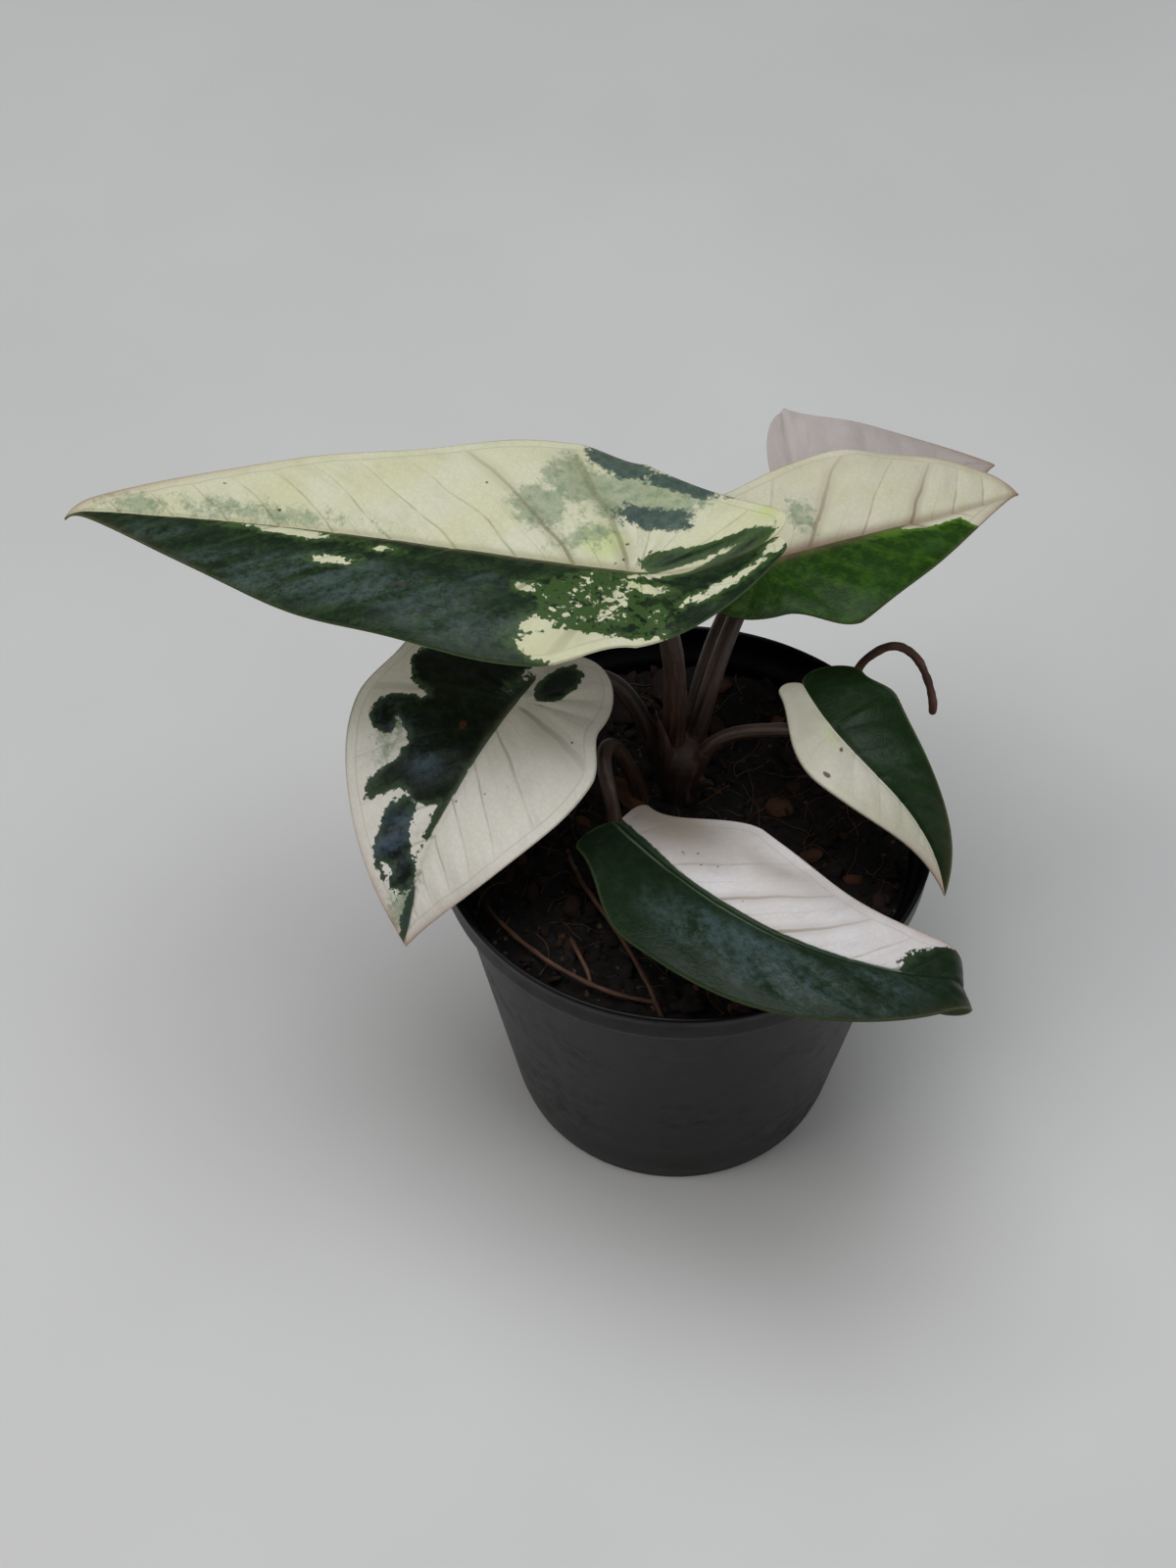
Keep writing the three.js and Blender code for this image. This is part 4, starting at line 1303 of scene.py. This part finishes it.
def crumb_height(x, y):
    """The same slow crumbs as the part's solid."""
    coarse = math.sin(x * 0.31 + 1.3) * math.cos(y * 0.27 - 0.4)
    middling = math.sin(x * 0.83 + y * 0.47) * math.cos(y * 0.91 - x * 0.22)
    fine = math.sin(x * 1.7 - y * 1.1 + 2) * math.sin(y * 1.9 + 0.7)
    return Mix.crumb * (0.7 * coarse + 0.6 * middling + 0.4 * fine)


def ground_height(x, y):
    """Height of the mix, with its lumps and grit."""
    lump = noise.voronoi((x / 3.4, y / 3.4, 0.3))[0][0]
    pebble = noise.voronoi((x / 1.5, y / 1.5, 5.3))[0][0]
    rough = noise.fractal((x / 2.6, y / 2.6, 1.7), 0.8, 2.1, 4)
    return Mix.level + crumb_height(x, y) + 0.9 * (0.45 - lump) + 0.5 * (0.4 - pebble) + 0.35 * rough


def build_mix_body():
    """The mix's rough top, rounded down at the pot's wall, over a plain body."""
    around = circle(Mix.sectors)
    edge, foot = Mix.level - Mix.edge_drop, Pot.floor + Mix.gap
    top_radius = inner_radius(edge) - Mix.gap / 2
    vertices = [(0, 0, ground_height(0, 0))]
    for share in np.linspace(0, 1, Mix.rings + 1)[1:]:
        down = Mix.edge_drop * smooth_step(0.93, 1.0, share)
        for c, s in around:
            x, y = top_radius * share * c, top_radius * share * s
            vertices.append((x, y, ground_height(x, y) - down))
    wall_levels = np.linspace(edge - 6, foot, 5)
    for level in wall_levels:
        radius = inner_radius(level) - Mix.gap
        vertices += [(radius * c, radius * s, level) for c, s in around]
    vertices.append((0, 0, foot))
    faces = closed_faces(Mix.rings + len(wall_levels), Mix.sectors, inward=True)
    piece = add_mesh("mix_ground", vertices, faces)
    finish_piece(piece, mix_material(), "potting_mix")


def lump_form(detail):
    """Vertices and faces of a ball of triangles."""
    ball = bmesh.new()
    bmesh.ops.create_icosphere(ball, subdivisions=detail, radius=1)
    ball.verts.ensure_lookup_table()
    vertices = np.array([v.co for v in ball.verts])
    faces = [tuple(v.index for v in f.verts) for f in ball.faces]
    ball.free()
    return vertices, faces


def add_bit(heap, form, sizes, spin, centre, seed, chance):
    """Adds a splintered bit of bark, made from a ball, to a heap."""
    ball, faces = form
    size, stretch, flatness = sizes
    push = [1 + 0.32 * noise.noise(Vector(v) * 1.7 + Vector((seed, 0, 0))) for v in ball]
    split = [1 + 0.12 * noise.noise(Vector((v[0] * 0.6, v[1] * 5, v[2] * 5 + seed))) for v in ball]
    body = ball * np.array(push)[:, None] * np.array(split)[:, None]
    grain = body * np.array((0.5, 2.4, 2.4)) * size + seed
    turn = np.array(Euler(spin, "XYZ").to_matrix())
    vertices = body * np.array((size * stretch, size, size * flatness)) @ turn.T + np.array(centre)
    heap.add(vertices, faces, grain=grain, chance=chance)


def part_random(seed):
    """The same small random number source as the part's solid."""
    factor, limit = 16807, 2147483647
    state = seed
    while True:
        state = (state * factor) % limit
        yield state / limit


def add_chips(heap):
    """The solid's chips, in the same places."""
    draws = part_random(Chips.seed)

    def between(low, high):
        return low + (high - low) * next(draws)

    form, tones = lump_form(3), random.Random(5)
    reach = inner_radius(Mix.level) - Chips.wall_margin
    placed = 0
    while placed < Chips.count:
        x, y = between(-reach, reach), between(-reach, reach)
        size = between(Chips.smallest, Chips.largest)
        tilts = between(-Chips.tilt, Chips.tilt), between(-Chips.tilt, Chips.tilt)
        spin = (*tilts, between(0, 2 * math.pi))
        sizes = (size, between(1, Chips.longest), Chips.flatness)
        clear = math.hypot(x - Stem.x, y - Stem.y) > Chips.stem_margin
        if math.hypot(x, y) < reach and clear:
            placed += 1
            centre = (x, y, Mix.level + crumb_height(x, y) + Chips.lift * size)
            add_bit(heap, form, sizes, spin, centre, placed * 3.7, tones.random())


def disc_place(scatter, radius):
    """A random place on a disc round the pot's axis."""
    angle = scatter.uniform(0, 2 * math.pi)
    away = radius * math.sqrt(scatter.random())
    return away * math.cos(angle), away * math.sin(angle)


def build_bark():
    """The solid's chips with a scatter of smaller bits between them."""
    heap = Heap()
    add_chips(heap)
    form, scatter = lump_form(2), random.Random(23)
    for number in range(LOOSE_BITS):
        x, y = disc_place(scatter, inner_radius(Mix.level) - 1.6)
        size = 0.45 + 1.1 * scatter.random() ** 2
        spin = (scatter.uniform(-0.7, 0.7), scatter.uniform(-0.7, 0.7), scatter.uniform(0, 6.28))
        centre = (x, y, ground_height(x, y) + 0.25 * size)
        sizes = (size, scatter.uniform(1, 2.4), 0.5)
        add_bit(heap, form, sizes, spin, centre, number * 1.9, scatter.random() ** 1.2)
    finish_piece(heap.piece("bark_bits"), bark_material(), "potting_mix")


def build_fibres():
    """Loose coir fibres that lie over the crumbs."""
    scatter = random.Random(41)
    heap = Heap()
    for _ in range(FIBRES):
        x, y = disc_place(scatter, 45)
        heading = scatter.uniform(0, 2 * math.pi)
        turn = scatter.uniform(-0.12, 0.12)
        step = scatter.uniform(0.35, 1.1)
        path = []
        for _ in range(16):
            if math.hypot(x, y) > inner_radius(Mix.level) - 1.2:
                break
            path.append((x, y, ground_height(x, y) + 0.15 + 0.25 * scatter.random()))
            heading += turn + scatter.uniform(-0.15, 0.15)
            x += step * math.cos(heading)
            y += step * math.sin(heading)
        if len(path) < 5:
            continue
        path = np.array(path)
        path[1:-1, 2] = (path[:-2, 2] + path[1:-1, 2] + path[2:, 2]) / 3
        vertices, faces, skin = tube(path, np.full(len(path), scatter.uniform(0.07, 0.15)), 5, 2)
        heap.add(vertices, faces, skin=skin)
    finish_piece(heap.piece("coir_fibres"), root_material(), "potting_mix")


# Camera, light and floor


def add_camera():
    """From the front and well above, as in the photograph."""
    camera = bpy.data.objects.new("camera", bpy.data.cameras.new("camera"))
    camera.data.sensor_width = 36
    camera.data.lens = 64.35
    camera.location = Vector((-20.35, -371.8, 561.0)) * MM
    camera.rotation_euler = (math.radians(38.85), 0, 0)
    camera.data.clip_start = 0.05
    camera.data.clip_end = 20
    bpy.context.scene.collection.objects.link(camera)
    bpy.context.scene.camera = camera


def add_area_light(name, place, size, watts, colour):
    """A square soft box, placed in metres, that faces the plant."""
    light = bpy.data.objects.new(name, bpy.data.lights.new(name, "AREA"))
    light.data.shape = "SQUARE"
    light.data.size = size
    light.data.energy = watts
    light.data.color = colour
    light.location = place
    aim = Vector((0, 0.02, 0.1)) - Vector(place)
    light.rotation_euler = aim.to_track_quat("-Z", "Y").to_euler()
    bpy.context.scene.collection.objects.link(light)


def add_studio():
    add_area_light("overhead", (-0.05, 0.1, 1.15), 0.8, 7.4, (0.94, 0.97, 1.0))
    add_area_light("window", (-0.9, -0.35, 0.8), 0.7, 3.2, (1.0, 0.98, 0.95))
    add_area_light("fill", (0.9, -0.5, 0.6), 0.8, 2.0, (1.0, 1.0, 1.0))
    world = bpy.data.worlds.new("studio")
    world.use_nodes = True
    background = world.node_tree.nodes["Background"]
    background.inputs["Color"].default_value = linear((206, 208, 212))
    background.inputs["Strength"].default_value = 0.2
    bpy.context.scene.world = world
    bpy.context.scene.view_settings.view_transform = "Standard"


def add_floor():
    """A large plain table, with its front and back far out of view."""
    half = 2500
    vertices = [(-half, -half, 0), (half, -half, 0), (half, half, 0), (-half, half, 0)]
    floor = add_mesh("floor", vertices, [(0, 1, 2, 3)])
    floor.data.materials.append(floor_material())


add_camera()
add_studio()
add_floor()
build_pot()
build_mix_body()
build_bark()
build_fibres()
build_stem()
build_roots()
stalk_skin = petiole_material()
for leaf_name, leaf_form in LEAVES.items():
    blade_surface = build_blade(leaf_name, leaf_form)
    build_petiole(leaf_name, leaf_form, blade_surface, stalk_skin)
